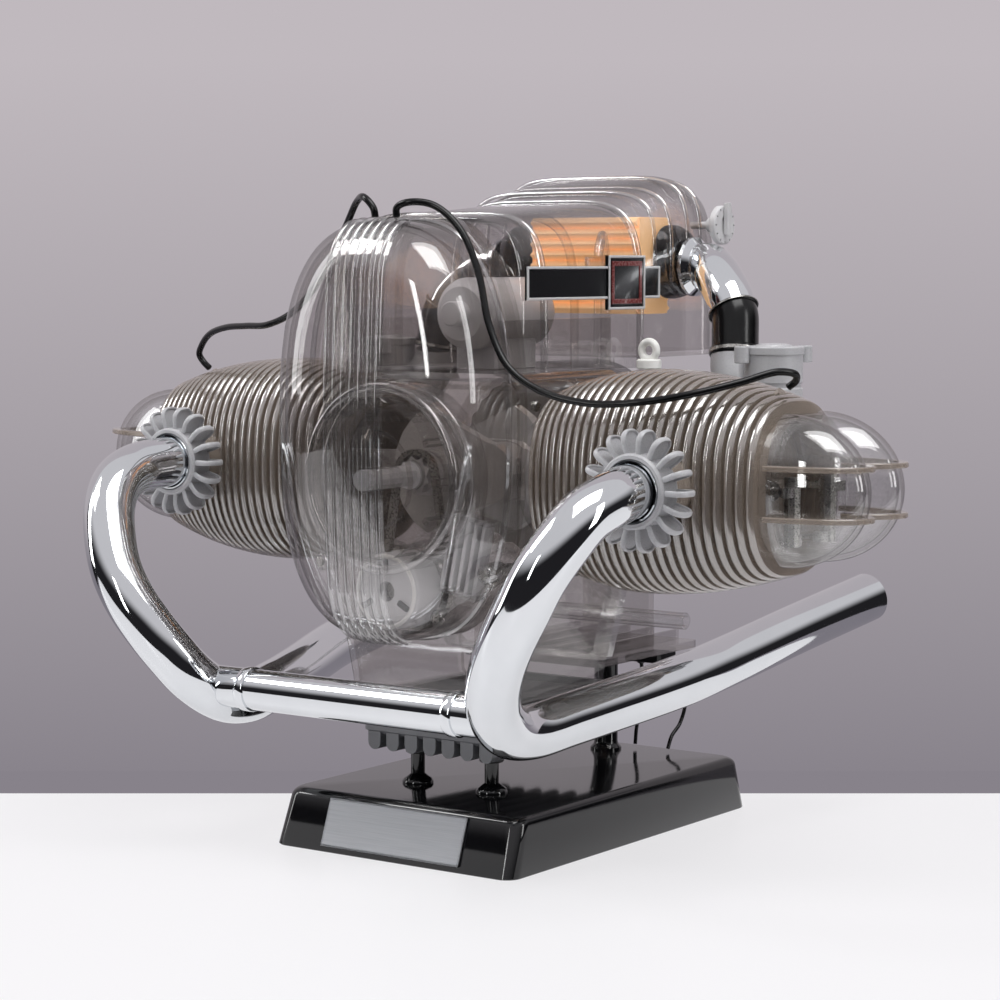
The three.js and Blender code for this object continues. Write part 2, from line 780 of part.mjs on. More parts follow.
// Timing chest: a tall oval plate with a rim, carrying the stator ring, the ignition base and a ribbed vent
function addTimingCover() {
  const rear = caseFront - gap;
  const plate = loft([chestFront, rear].map((y) => ovalAcrossY(y, chestMiddle, chestHalfWidth,
    chestHalfHeight, finSquareness, coverSides)));
  const hollow = loft([chestFront + coverWall, rear + overrun].map((y) => ovalAcrossY(y, chestMiddle,
    chestHalfWidth - coverWall, chestHalfHeight - coverWall, finSquareness, coverSides)));
  const stator = cut(rod(statorOuter, at(0, chestFront - statorDepth, crankHeight),
    at(0, chestFront + coverWall / 2, crankHeight), 2 * smallSides),
  rod(statorInner, at(0, chestFront - statorDepth - overrun, crankHeight), at(0, chestFront, crankHeight),
    2 * smallSides));
  const ignitionBase = cut(rod(pointsRadius, at(0, chestFront - pointsDepth, camHeight),
    at(0, chestFront + coverWall / 2, camHeight)),
  rod(statorInner, at(0, chestFront - statorDepth - overrun, crankHeight), at(0, chestFront, crankHeight),
    2 * smallSides));
  const crankHole = rod(frontJournalRadius + runningGap, at(0, chestFront - overrun, crankHeight),
    at(0, rear + overrun, crankHeight));
  const camHole = rod(camShaftRadius + runningGap, at(0, chestFront - pointsDepth - overrun, camHeight),
    at(0, rear + overrun, camHeight), smallSides);
  const bars = Array.from({ length: ventRibCount + 1 }, (_, k) => {
    const y = (k / ventRibCount - 0.5) * ventWidth;
    return new THREE.BoxGeometry(ventWidth / ventRibCount / 2, 2 * ventDepth, ventHeight).translate(y, 0, 0);
  });
  const rails = [-1, 1].map((sign) => new THREE.BoxGeometry(ventWidth * 1.1, 2 * ventDepth, ventDepth)
    .translate(0, 0, sign * ventHeight / 2));
  const vent = join(...[...bars, ...rails].map((bar) => solid(bar.rotateY(ventLean)
    .translate(ventX, chestFront, ventMiddle))));
  add('timing_cover', cut(join(plate, stator, ignitionBase, vent), hollow, crankHole, camHole), smoke);
}

// Front cover: a tall oval dome with upright ribs down its middle
function frontDome(swell, rimY) {
  const turnY = frontCoverFace + frontCoverRound;
  const arcs = [0, 0.5, 1].map((share) => share * Math.PI / 2);
  const rings = [ovalAcrossY(rimY, frontCoverMiddle, frontCoverHalfWidth + swell,
    frontCoverHalfHeight + swell, finSquareness, coverSides)];
  for (const arc of arcs) {
    const draw = frontCoverRound * (1 - Math.cos(arc));
    rings.push(ovalAcrossY(turnY - (frontCoverRound + swell) * Math.sin(arc), frontCoverMiddle,
      frontCoverHalfWidth + swell - draw, frontCoverHalfHeight + swell - draw, finSquareness, coverSides));
  }
  rings.push(ovalAcrossY(frontCoverFace - swell - frontCoverCrown, frontCoverMiddle,
    (frontCoverHalfWidth - frontCoverRound) / 2, frontCoverHalfHeight - 2 * frontCoverRound, finSquareness,
    coverSides));
  return loft(rings);
}

function addFrontCover() {
  const rim = chestFront - gap;
  const ribbed = frontDome(frontRibHeight, rim);
  const ribs = Array.from({ length: frontRibCount }, (_, k) => {
    const x = (k - (frontRibCount - 1) / 2) * frontRibPitch;
    return ribbed.intersect(box(x - frontRibWidth / 2, x + frontRibWidth / 2,
      frontCoverFace - 2 * frontCoverRound,
      frontCoverFace + 1.5 * frontCoverRound, frontCoverMiddle - 2 * frontCoverHalfHeight,
      frontCoverMiddle + 2 * frontCoverHalfHeight));
  });
  add('front_cover', cut(join(frontDome(0, rim), ...ribs), frontDome(-coverWall, rim + overrun)), smoke);
}

// Arched covers on top of the crankcase
function archRing(y, halfWidth, foot, top) {
  const steps = 12;
  const arch = Array.from({ length: steps + 1 }, (_, k) => {
    const [across, up] = ovalPoint(halfWidth, top - foot, archSquareness, Math.PI * k / steps);
    return at(across, y, foot + up);
  });
  return arch;
}

function addTopCovers() {
  const foot = caseTop + gap;
  const outer = loft([archRing(caseFront, archHalfWidth, foot, archFrontTop),
    archRing(archRear, archHalfWidth, foot, archRearTop)]);
  const lip = loft([archRing(archRear - archLipDepth, archHalfWidth + archLip, foot, archRearTop + archLip),
    archRing(archRear, archHalfWidth + archLip, foot, archRearTop + archLip)]);
  const inner = loft([archRing(caseFront + coverWall, archHalfWidth - coverWall, foot - overrun,
    archFrontTop - coverWall), archRing(archRear + overrun, archHalfWidth - coverWall, foot - overrun,
    archRearTop - coverWall)]);
  add('top_cover', cut(join(outer, lip), inner), smoke);

  // Stations of the airbox as shares of its length, half width and height
  const airboxShares = [
    [0, 1, 0.84], [0.3, 1, 0.94], [0.6, 1, 1], [0.82, 0.96, 0.97], [0.94, 0.84, 0.84], [1, 0.66, 0.66],
  ];
  const airboxFront = archRear + gap;
  const airboxLength = airboxRear - airboxFront;
  const airboxHeight = (archRearTop - airboxBottom) / airboxShares[0][2];
  const rings = (inset) => airboxShares.map(([alongShare, widthShare, heightShare], k) => {
    const ends = k === 0 ? inset : (k === airboxShares.length - 1 ? -inset : 0);
    return archRing(airboxFront + alongShare * airboxLength + ends, archHalfWidth * widthShare - inset,
      airboxBottom + inset, airboxBottom + airboxHeight * heightShare - inset);
  });
  const ports = rod(airPortRadius, at(-2 * archHalfWidth, airPortY, airPortHeight),
    at(2 * archHalfWidth, airPortY, airPortHeight));
  const dialHole = rod(dialHubRadius / 2 + gap, at(0, dialY, dialHeight),
    at(2 * archHalfWidth, dialY, dialHeight), smallSides);
  const filterSeat = box(filterLeft, filterRight, filterFront + pleatDepth,
    filterFront + filterDepth - pleatDepth, airboxBottom + coverWall / 2, filterBottom - gap);
  add('airbox', cut(join(cut(loft(rings(0)), loft(rings(coverWall))), filterSeat), ports, dialHole), smoke);
}

// Air filter: a folded paper block, its pleats lying level
function addAirFilter() {
  const pitch = (filterTop - filterBottom) / pleatCount;
  const front = [];
  const rear = [];
  for (let k = 0; k < pleatCount; k++) {
    const z = filterBottom + k * pitch;
    front.push([filterFront + pleatDepth, z], [filterFront, z + pitch / 2]);
    rear.push([filterFront + filterDepth - pleatDepth, z], [filterFront + filterDepth, z + pitch / 2]);
  }
  front.push([filterFront + pleatDepth, filterTop]);
  rear.push([filterFront + filterDepth - pleatDepth, filterTop]);
  add('air_filter', extrudeAlongX(polygon([...rear, ...front.reverse()]), filterLeft, filterRight),
    filterPaper);
}

// Starter motor in the top cover, on a saddle that stands on the crankcase
function addStarterMotor() {
  const body = turned([
    [0, 0], [motorRadius * 0.35, 0], [motorRadius * 0.35, motorLength * 0.12],
    [motorRadius * 0.8, motorLength * 0.12],
    [motorRadius, motorLength * 0.2], [motorRadius, motorLength * 0.92], [motorRadius * 0.8, motorLength],
    [0, motorLength],
  ], at(0, motorFront, motorHeight), alongY);
  const saddle = box(-motorRadius * 0.7, motorRadius * 0.7, motorFront + motorLength * 0.3,
    motorFront + motorLength * 0.8, caseTop + gap, motorHeight - motorRadius / 2);
  add('starter_motor', join(body, saddle), grey);
}

// Name badge on the side of the top cover: a long plain bar with a taller block
function addBadge() {
  const low = badgeMiddle - badgeHeight / 2;
  const high = badgeMiddle + badgeHeight / 2;
  const blockMiddle = badgeFront + badgeLength * badgeBlockShare;
  const blockFrom = blockMiddle - badgeBlockLength / 2;
  const blockTo = blockMiddle + badgeBlockLength / 2;
  const blockLow = badgeMiddle - badgeBlockHeight / 2;
  const blockHigh = badgeMiddle + badgeBlockHeight / 2;
  const badgeRear = badgeFront + badgeLength;
  const shape = polygon([
    [badgeFront, low], [blockFrom, low], [blockFrom, blockLow], [blockTo, blockLow], [blockTo, low],
    [badgeRear, low], [badgeRear, high], [blockTo, high], [blockTo, blockHigh], [blockFrom, blockHigh],
    [blockFrom, high], [badgeFront, high],
  ]);
  const face = archHalfWidth + archLip + gap;
  const feet = badgeFootShares.map((share) => {
    const footY = badgeFront + badgeLength * share;
    return rod(badgeThickness, at(archHalfWidth + gap, footY, badgeMiddle),
      at(face + overrun, footY, badgeMiddle), smallSides);
  });
  add('badge', join(extrudeAlongX(shape, face, face + badgeThickness), ...feet), badgeBlack);
}

// Choke dial on the airbox: a disc on a short stem through the wall, with a finger bar
function addChokeDial() {
  const stem = rod(dialHubRadius / 2, at(archHalfWidth - 4 * coverWall, dialY, dialHeight),
    at(dialX, dialY, dialHeight), smallSides);
  const hub = rod(dialHubRadius, at(archHalfWidth + gap, dialY, dialHeight), at(dialX, dialY, dialHeight),
    smallSides);
  const face = rod(dialRadius, at(dialX - overrun / 2, dialY, dialHeight),
    at(dialX + dialThickness, dialY, dialHeight));
  const bar = box(dialX + dialThickness - overrun / 2, dialX + dialThickness + dialBarThickness,
    dialY - dialBarThickness / 2, dialY + dialBarThickness / 2, dialHeight - dialRadius / 2,
    dialHeight - dialRadius / 2 + dialBarLength);
  add('choke_dial', join(stem, hub, face, bar), silver);
}

// Dipstick: a thin stick with a screw cap and a finger ring
function addDipstick() {
  const capTop = caseTop + gap + 2.5 * dipstickRadius;
  const stick = rod(dipstickRadius, at(dipstickX, dipstickY, capTop - dipstickLength),
    at(dipstickX, dipstickY, capTop), smallSides);
  const cap = rod(dipstickBossRadius + gap, at(dipstickX, dipstickY, caseTop + gap),
    at(dipstickX, dipstickY, capTop));
  const ring = new THREE.TorusGeometry(dipstickRingRadius, dipstickRadius, boreSides, roundSides)
    .rotateX(Math.PI / 2)
    .translate(dipstickX, dipstickY, capTop + dipstickRingRadius);
  add('dipstick', join(stick, cap, solid(ring)), white);
}

// A toothed wheel outline with pointed teeth
function toothedOutline(rootRadius, tipRadius, teeth) {
  const points = [];
  for (let k = 0; k < teeth; k++) {
    for (const [share, radius] of [[0, rootRadius], [0.5, tipRadius]]) {
      const angle = 2 * Math.PI * (k + share) / teeth;
      points.push([radius * Math.cos(angle), radius * Math.sin(angle)]);
    }
  }
  return points;
}

const crankSprocketTip = crankSprocketTeeth * toothPitch / (2 * Math.PI) + toothHeight / 2;
const camSprocketTip = camSprocketTeeth * toothPitch / (2 * Math.PI) + toothHeight / 2;
const sprocketFront = chestFront + coverWall + 2 * gap;
const sprocketRear = sprocketFront + sprocketWidth;

function sprocket(height, tip, teeth) {
  const outline = toothedOutline(tip - toothHeight, tip, teeth).map(([x, z]) => [x, z + height]);
  return extrudeAlongY(polygon(outline), sprocketFront, sprocketRear);
}

// Crankshaft at top dead centre of both pistons, with the two crankpins opposite each other
function webOutline(sign) {
  const shape = new THREE.Shape();
  const from = Math.PI - counterweightAngle;
  const to = Math.PI + counterweightAngle;
  shape.absarc(0, 0, counterweightRadius, from, to, false);
  shape.absarc(crankThrow, 0, webBossRadius, -Math.PI / 2, Math.PI / 2, false);
  return shape.getPoints(4).map((p) => [sign * p.x, p.y + crankHeight]);
}

function addCrankshaft() {
  const frontWebTo = rightAxisY - pinLength / 2;
  const middleWebTo = frontWebTo + pinLength + webThickness;
  const rearWebFrom = middleWebTo + pinLength;
  const along = (y) => y - rotorFront + rotorDepth * 0.2;
  const noseStart = rotorFront - rotorDepth * 0.2;
  const frontShaft = turned([
    [0, 0], [noseRadius, 0], [noseRadius, along(chestFront - 2 * gap)],
    [frontJournalRadius, along(chestFront - 2 * gap)], [frontJournalRadius, along(sprocketRear)],
    [mainJournalRadius, along(sprocketRear)], [mainJournalRadius, along(frontWebTo)],
    [0, along(frontWebTo)],
  ], at(0, noseStart, crankHeight), alongY);
  const rearShaft = rod(mainJournalRadius, at(0, rearWebFrom, crankHeight),
    at(0, flywheelFront - gap, crankHeight));
  const frontWeb = extrudeAlongY(polygon(webOutline(1)), frontWebTo - webThickness, frontWebTo);
  const rearWeb = extrudeAlongY(polygon(webOutline(-1)), rearWebFrom, rearWebFrom + webThickness);
  const strap = new THREE.Shape();
  strap.absarc(crankThrow, crankHeight, webBossRadius, -Math.PI / 2, Math.PI / 2, false);
  strap.absarc(-crankThrow, crankHeight, webBossRadius, Math.PI / 2, 3 * Math.PI / 2, false);
  const middleWeb = extrudeAlongY(strap, frontWebTo + pinLength, middleWebTo, 4);
  const rightPin = rod(bigEndRadius, at(crankThrow, frontWebTo - overrun, crankHeight),
    at(crankThrow, frontWebTo + pinLength + overrun, crankHeight));
  const leftPin = rod(bigEndRadius, at(-crankThrow, middleWebTo - overrun, crankHeight),
    at(-crankThrow, rearWebFrom + overrun, crankHeight));
  add('crankshaft', join(frontShaft, frontWeb, rightPin, middleWeb, leftPin, rearWeb, rearShaft,
    sprocket(crankHeight, crankSprocketTip, crankSprocketTeeth)), steel);
}

function addFlywheel() {
  const rear = flywheelFront + flywheelThickness;
  const rim = extrudeAlongY(polygon(toothedOutline(flywheelRadius - flywheelToothHeight, flywheelRadius,
    flywheelTeeth)
    .map(([x, z]) => [x, z + crankHeight])), flywheelFront, rear);
  const recess = cut(rod(flywheelRadius * 0.8, at(0, rear - flywheelThickness / 2, crankHeight),
    at(0, rear + overrun, crankHeight)),
  rod(crankThrow, at(0, flywheelFront, crankHeight), at(0, rear + 2 * overrun, crankHeight)));
  const plugBores = [-1, 1].map((sign) => rod(balancePlugRadius + runningGap,
    at(sign * crankThrow / 2, rear - balancePlugLength, crankHeight),
    at(sign * crankThrow / 2, rear + overrun, crankHeight), smallSides));
  add('flywheel', cut(rim, recess, ...plugBores), steel);
  for (const side of sides) {
    addSide('balance_plug', side, rod(balancePlugRadius,
      at(crankThrow / 2, rear - balancePlugLength + gap, crankHeight),
      at(crankThrow / 2, rear, crankHeight), smallSides), steel);
  }
}

// Alternator rotor: a claw-pole drum pressed on the crank's nose
function addRotor() {
  const rear = rotorFront + rotorDepth;
  const drum = turned([
    [0, 0], [rotorRadius * 0.35, 0], [rotorRadius * 0.35, rotorDepth * 0.2],
    [rotorRadius * 0.62, rotorDepth * 0.2],
    [rotorRadius * 0.62, 0], [rotorRadius, 0], [rotorRadius, rotorDepth], [0, rotorDepth],
  ], at(0, rotorFront, crankHeight), alongY, 2 * smallSides);
  const slots = Array.from({ length: rotorPoles }, (_, k) => {
    const slot = new THREE.BoxGeometry(rotorRadius * 0.2, rotorDepth * 0.7, rotorRadius * 0.08)
      .translate(rotorRadius, 0, 0).rotateY(2 * Math.PI * k / rotorPoles);
    return solid(slot.translate(0, rotorFront + rotorDepth / 2, crankHeight));
  });
  const noseHole = rod(noseRadius + gap, at(0, rotorFront - overrun, crankHeight),
    at(0, rear + overrun, crankHeight));
  add('alternator_rotor', cut(drum, ...slots, noseHole), darkGrey);
}

// Camshaft with four lobes, one to each pushrod, and its sprocket
function lobe(y, angle) {
  const shape = new THREE.Shape();
  const lift = camNoseRadius - camNoseTipRadius;
  shape.absarc(0, 0, camBaseRadius, angle + Math.PI * 0.6, angle + Math.PI * 1.4, false);
  shape.absarc(lift * Math.cos(angle), lift * Math.sin(angle), camNoseTipRadius, angle - 1, angle + 1,
    false);
  const outline = shape.getPoints(3).map((p) => [p.x, p.y + camHeight]);
  return extrudeAlongY(polygon(outline), y - camLobeWidth / 2, y + camLobeWidth / 2);
}

function addCamshaft() {
  const shaft = rod(camShaftRadius, at(0, chestFront - pointsDepth * 0.7, camHeight),
    at(0, caseRear - gap, camHeight), smallSides);
  const lobeYs = [rightAxisY - pushrodY, rightAxisY + pushrodY, leftAxisY - pushrodY, leftAxisY + pushrodY];
  const lobeAngles = [0.9, 2.4, -0.7, -2.2];
  const lobes = lobeYs.map((y, k) => lobe(y, lobeAngles[k]));
  add('camshaft', join(shaft, ...lobes, sprocket(camHeight, camSprocketTip, camSprocketTeeth)), steel);
}

// Timing chain: a band of links standing round both sprockets, just clear of the teeth
function chainPath(offset, steps) {
  const crankR = crankSprocketTip + gap + offset;
  const camR = camSprocketTip + gap + offset;
  const lean = Math.asin((camR - crankR) / camDrop);
  const points = [];
  for (let k = 0; k <= steps; k++) {
    const angle = lean + (Math.PI - 2 * lean) * k / steps;
    points.push([crankR * Math.cos(angle), crankHeight + crankR * Math.sin(angle)]);
  }
  for (let k = 0; k <= 2 * steps; k++) {
    const angle = Math.PI - lean + (Math.PI + 2 * lean) * k / (2 * steps);
    points.push([camR * Math.cos(angle), camHeight + camR * Math.sin(angle)]);
  }
  return points;
}

function addTimingChain() {
  const outer = polygon(chainPath(chainThickness, 9));
  const inner = polygon(chainPath(0, 9));
  const band = cut(extrudeAlongY(outer, sprocketFront, sprocketRear),
    extrudeAlongY(inner, sprocketFront - overrun, sprocketRear + overrun));
  add('timing_chain', band, steel);
}

// Fins: their half height swells from the crankcase to a peak and falls away to the rocker cover
function finHalfHeight(x) {
  const inward = x < finPeakX;
  const reach = inward ? finInwardReach : finOutwardReach;
  const fall = inward ? finPeak - finInner : finPeak - finOuter;
  return finPeak - fall * (Math.abs(x - finPeakX) / reach) ** 2;
}

function finnedBody(axisY, xFrom, fins, coreDepth, coreHeight, coreSquareness, xEnd) {
  const ring = (x, halfDepth, halfHeight, squareness) => ovalAcrossX(x, axisY, crankHeight, halfDepth,
    halfHeight, squareness, finSides);
  const rings = [];
  for (let k = 0; k < fins; k++) {
    const x = xFrom + k * finPitch;
    const half = finHalfHeight(x);
    rings.push(ring(x, coreDepth, coreHeight, coreSquareness),
      ring(x, half * finDepthShare, half, finSquareness),
      ring(x + finThickness, half * finDepthShare, half, finSquareness),
      ring(x + finThickness, coreDepth, coreHeight, coreSquareness));
  }
  rings.push(ring(xEnd, coreDepth, coreHeight, coreSquareness));
  return loft(rings);
}

// The passage that both pushrods of one side share through the fins
function pushrodTunnel(axisY, xFrom, xTo) {
  const [from, to] = pushrodLine(axisY, 1, 0);
  const halfWidth = pushrodY + pushrodTubeRadius + gap;
  const halfHeight = pushrodTubeRadius + gap;
  return loft([xFrom, xTo].map((x) => {
    const middle = from.clone().lerp(to, (x - from.x) / (to.x - from.x));
    return [[halfWidth, -halfHeight], [halfWidth, halfHeight], [-halfWidth, halfHeight],
      [-halfWidth, -halfHeight]].map(([y, z]) => at(x, axisY + y, middle.z + z));
  }));
}

// Barrel: a finned cylinder on a short foot, with the two pushrod tubes below the bore
function addBarrel(side) {
  const axisY = side.axisY;
  const body = finnedBody(axisY, firstFinX, barrelFins, barrelCore, barrelCore, 2, headFace);
  const foot = rod(barrelCore - caseWall / 2, at(barrelFoot, axisY, crankHeight),
    at(firstFinX + overrun, axisY, crankHeight));
  const hollow = rod(bore / 2 + boreClearance, at(barrelFoot - overrun, axisY, crankHeight),
    at(headFace + overrun, axisY, crankHeight));
  const tunnel = pushrodTunnel(axisY, firstFinX + finPitch, headFace - finPitch);
  const tubes = [];
  const tubeBores = [];
  for (const offset of [-pushrodY, pushrodY]) {
    const [from, to] = pushrodLine(axisY, 1, offset);
    const onLine = (x) => from.clone().lerp(to, (x - from.x) / (to.x - from.x));
    tubes.push(rod(pushrodTubeRadius, onLine(caseHalfWidth + 4 * gap), onLine(headFace), smallSides));
    tubeBores.push(rod(pushrodTubeBore, from, to, boreSides));
  }
  const trim = box(headFace, headFace + 2 * finPitch, axisY - 2 * finPeak, axisY + 2 * finPeak,
    crankHeight - 2 * finPeak, crankHeight + 2 * finPeak);
  addSide('barrel', side, cut(join(cut(body, tunnel), foot, ...tubes), hollow, ...tubeBores, trim),
    finSmoke);
}

// Where each valve lies: its foot in the chamber, its direction and its tip
function valveLine(axisY, end) {
  const direction = at(Math.cos(valveAngle), end * Math.sin(valveAngle), 0);
  const foot = at(valveSeatX, axisY + end * valveSpread, crankHeight);
  return { foot, direction, tip: foot.clone().addScaledVector(direction, valveLength) };
}

function addValves(side) {
  for (const [kind, end] of [['exhaust', -1], ['intake', 1]]) {
    const { foot, direction } = valveLine(side.axisY, end);
    const body = turned([
      [0, 0], [valveHeadRadius, 0], [valveHeadRadius, valveHeadEdge], [valveStemRadius, valveHeadEdge * 4],
      [valveStemRadius, valveLength - 3 * retainerThickness],
      [retainerRadius, valveLength - 3 * retainerThickness],
      [retainerRadius, valveLength - 2 * retainerThickness],
      [valveStemRadius, valveLength - 2 * retainerThickness],
      [valveStemRadius, valveLength], [0, valveLength],
    ], foot, direction, smallSides);
    addSide(`${kind}_valve`, side, body, steel);
  }
}

// Rockers: an upright hub with one arm over the valve and one down at the pushrod
function addRockers(side) {
  for (const [kind, end] of [['exhaust', -1], ['intake', 1]]) {
    const { tip, direction } = valveLine(side.axisY, end);
    const hubY = side.axisY + end * rockerShaftY;
    const low = pushrodOuterHeight - rockerArmThickness / 2;
    const hub = rod(rockerHubRadius, at(rockerShaftX, hubY, low),
      at(rockerShaftX, hubY, crankHeight + rockerHubTop), smallSides);
    const touch = tip.clone().addScaledVector(direction, 3 * gap + rockerArmWidth / 2);
    const upper = armBetween(rockerShaftX, hubY, touch.x, touch.y, crankHeight);
    const push = at(pushrodOuterX + gap + rockerArmWidth / 2, side.axisY + end * pushrodY,
      pushrodOuterHeight);
    const lower = armBetween(rockerShaftX, hubY, push.x, push.y, pushrodOuterHeight);
    addSide(`${kind}_rocker`, side, join(hub, upper, lower), steel);
  }
}

function armBetween(x0, y0, x1, y1, height) {
  const half = rockerArmWidth / 2;
  const angle = Math.atan2(y1 - y0, x1 - x0);
  const shape = new THREE.Shape();
  shape.absarc(x0, y0, half, angle + Math.PI / 2, angle + 3 * Math.PI / 2, false);
  shape.absarc(x1, y1, half, angle - Math.PI / 2, angle + Math.PI / 2, false);
  const geometry = new THREE.ExtrudeGeometry(shape, { depth: rockerArmThickness, bevelEnabled: false,
    curveSegments: 4 });
  return solid(geometry.translate(0, 0, height - rockerArmThickness / 2));
}

function addPushrods(side) {
  for (const [kind, end] of [['exhaust', -1], ['intake', 1]]) {
    const [from, to] = pushrodLine(side.axisY, 1, end * pushrodY);
    const reach = to.clone().sub(from);
    const length = reach.length();
    const body = turned([
      [0, 0], [tappetRadius, 0], [tappetRadius, tappetLength], [pushrodRadius, tappetLength],
      [pushrodRadius, length], [0, length],
    ], from, reach, smallSides);
    addSide(`${kind}_pushrod`, side, body, steel);
  }
}

// Head: finned, with a domed chamber, inclined valves, two ports, a plug hole and a rocker well
function addHead(side) {
  const axisY = side.axisY;
  const body = finnedBody(axisY, headStart, headFins, headCoreHalfDepth, headCoreHalfHeight, finSquareness,
    headEnd);
  const exhaustStub = rod(portStubRadius, at(portX, axisY - headCoreHalfDepth, exhaustPortHeight),
    at(portX, axisY - exhaustPortReach + nutDepth / 2, exhaustPortHeight), smallSides);
  const intakeStub = rod(intakeStubRadius, at(portX, axisY + headCoreHalfDepth, exhaustPortHeight),
    at(portX, axisY + carbFront - gap, exhaustPortHeight), smallSides);
  const chamberRadius = bore / 2 - overrun;
  const chamber = new THREE.SphereGeometry(1, smallSides + 2, 4).scale(chamberDepth, chamberRadius,
    chamberRadius)
    .translate(headStart, axisY, crankHeight);
  const well = loft([headEnd - wellDepth, headEnd + overrun].map((x) => ovalAcrossX(x, axisY, crankHeight,
    wellHalfDepth - coverWall, wellHalfHeight, finSquareness, finSides)));
  const valveBores = [-1, 1].flatMap((end) => {
    const { foot, direction } = valveLine(axisY, end);
    const throat = rod(valveHeadRadius + gap, foot.clone().addScaledVector(direction, -chamberDepth),
      foot.clone().addScaledVector(direction, 4 * valveHeadEdge), smallSides);
    const guide = rod(valveStemRadius + gap, foot, foot.clone().addScaledVector(direction, valveLength),
      boreSides);
    const port = rod(portBore, at(portX, axisY + end * exhaustPortReach, exhaustPortHeight),
      at(portX + valveHeadEdge, axisY + end * valveSpread, crankHeight), boreSides);
    return [throat, guide, port];
  });
  const plugDirection = at(Math.cos(plugAngle), 0, Math.sin(plugAngle));
  const plugStart = at(plugStartX, axisY, crankHeight + plugStartRise);
  const plugWell = rod(plugWellRadius, plugStart.clone().addScaledVector(plugDirection, plugLength * 0.3),
    plugStart.clone().addScaledVector(plugDirection, 2 * plugLength), boreSides);
  const plugHole = rod(plugThreadRadius + 2 * gap,
    plugStart.clone().addScaledVector(plugDirection, -chamberDepth),
    plugStart.clone().addScaledVector(plugDirection, plugLength), boreSides);
  const posts = [-1, 1].flatMap((end) => {
    const y = axisY + end * rockerShaftY;
    const hubLow = pushrodOuterHeight - rockerArmThickness / 2;
    const hubHigh = crankHeight + rockerHubTop;
    const floor = headEnd - wellDepth - overrun;
    return [
      box(floor, rockerShaftX + rockerHubRadius / 2, y - rockerHubRadius, y + rockerHubRadius,
        hubHigh + gap, hubHigh + gap + coverWall),
      box(floor, rockerShaftX + rockerHubRadius / 2, y - rockerHubRadius, y + rockerHubRadius,
        hubLow - gap - coverWall, hubLow - gap),
    ];
  });
  const trim = box(headStart - 2 * finPitch, headStart, axisY - 2 * finPeak, axisY + 2 * finPeak,
    crankHeight - 2 * finPeak, crankHeight + 2 * finPeak);
  const tunnel = pushrodTunnel(axisY, headStart - overrun, headEnd - wellDepth + overrun);
  const hollowed = cut(join(body, exhaustStub, intakeStub), trim, solid(chamber), well, ...valveBores,
    plugWell, plugHole, tunnel);
  addSide('head', side, join(hollowed, ...posts), finSmoke);
}

// Rocker cover: two domed lobes over the rockers, crossed by two thin ribs
function coverLobes(axisY, swell, start) {
  return join(...[-1, 1].map((end) => {
    const dome = new THREE.SphereGeometry(1, roundSides, 6).scale(coverLength + swell,
      coverLobeHalfWidth + swell, coverHalfHeight + swell);
    return solid(dome.translate(start, axisY + end * coverLobeY, crankHeight));
  }));
}

function addRockerCover(side) {
  const axisY = side.axisY;
  const start = headEnd + gap;
  const keep = box(start, start + 2 * coverLength, axisY - 2 * finPeak, axisY + 2 * finPeak,
    crankHeight - 2 * finPeak, crankHeight + 2 * finPeak);
  const ring = (x, halfDepth, halfHeight) => ovalAcrossX(x, axisY, crankHeight, halfDepth, halfHeight,
    finSquareness, finSides);
  const flange = loft([start, start + coverFlange].map((x) => ring(x, wellHalfDepth + coverWall,
    wellHalfHeight + 2 * coverWall)));
  const flangeHole = loft([start - overrun, start + coverFlange + overrun].map((x) => ring(x,
    wellHalfDepth - coverWall, wellHalfHeight)));
  const ribs = [-1, 1].map((sign) => {
    const z = crankHeight + sign * coverRibOffset;
    return coverLobes(axisY, coverRibHeight, start).intersect(box(start, start + 2 * coverLength,
      axisY - 2 * finPeak, axisY + 2 * finPeak, z - coverRibThickness / 2, z + coverRibThickness / 2));
  });
  const shell = join(coverLobes(axisY, 0, start).intersect(keep), cut(flange, flangeHole), ...ribs);
  addSide('rocker_cover', side, cut(shell, coverLobes(axisY, -coverWall, start)), clear);
}

// Piston at top dead centre, with its gudgeon pin
function addPiston(side) {
  const pinX = crankThrow + rodLength;
  const outline = [[0, -skirtLength], [pistonRadius, -skirtLength]];
  for (let k = ringGrooves; k > 0; k--) {
    const from = crownHeight - k * groovePitch;
    outline.push([pistonRadius, from], [pistonRadius - grooveDepth, from],
      [pistonRadius - grooveDepth, from + grooveWidth], [pistonRadius, from + grooveWidth]);
  }
  outline.push([pistonRadius, crownHeight], [0, crownHeight]);
  const body = turned(outline, at(pinX, side.axisY, crankHeight), alongX);
  const hollow = rod(pistonRadius - pistonWall, at(pinX - skirtLength - overrun, side.axisY, crankHeight),
    at(pinX + crownHeight - crownThickness, side.axisY, crankHeight));
  const pin = rod(gudgeonRadius, at(pinX, side.axisY - pistonRadius + pistonWall / 2, crankHeight),
    at(pinX, side.axisY + pistonRadius - pistonWall / 2, crankHeight), smallSides);
  addSide('piston', side, join(cut(body, hollow), pin), steel);
}

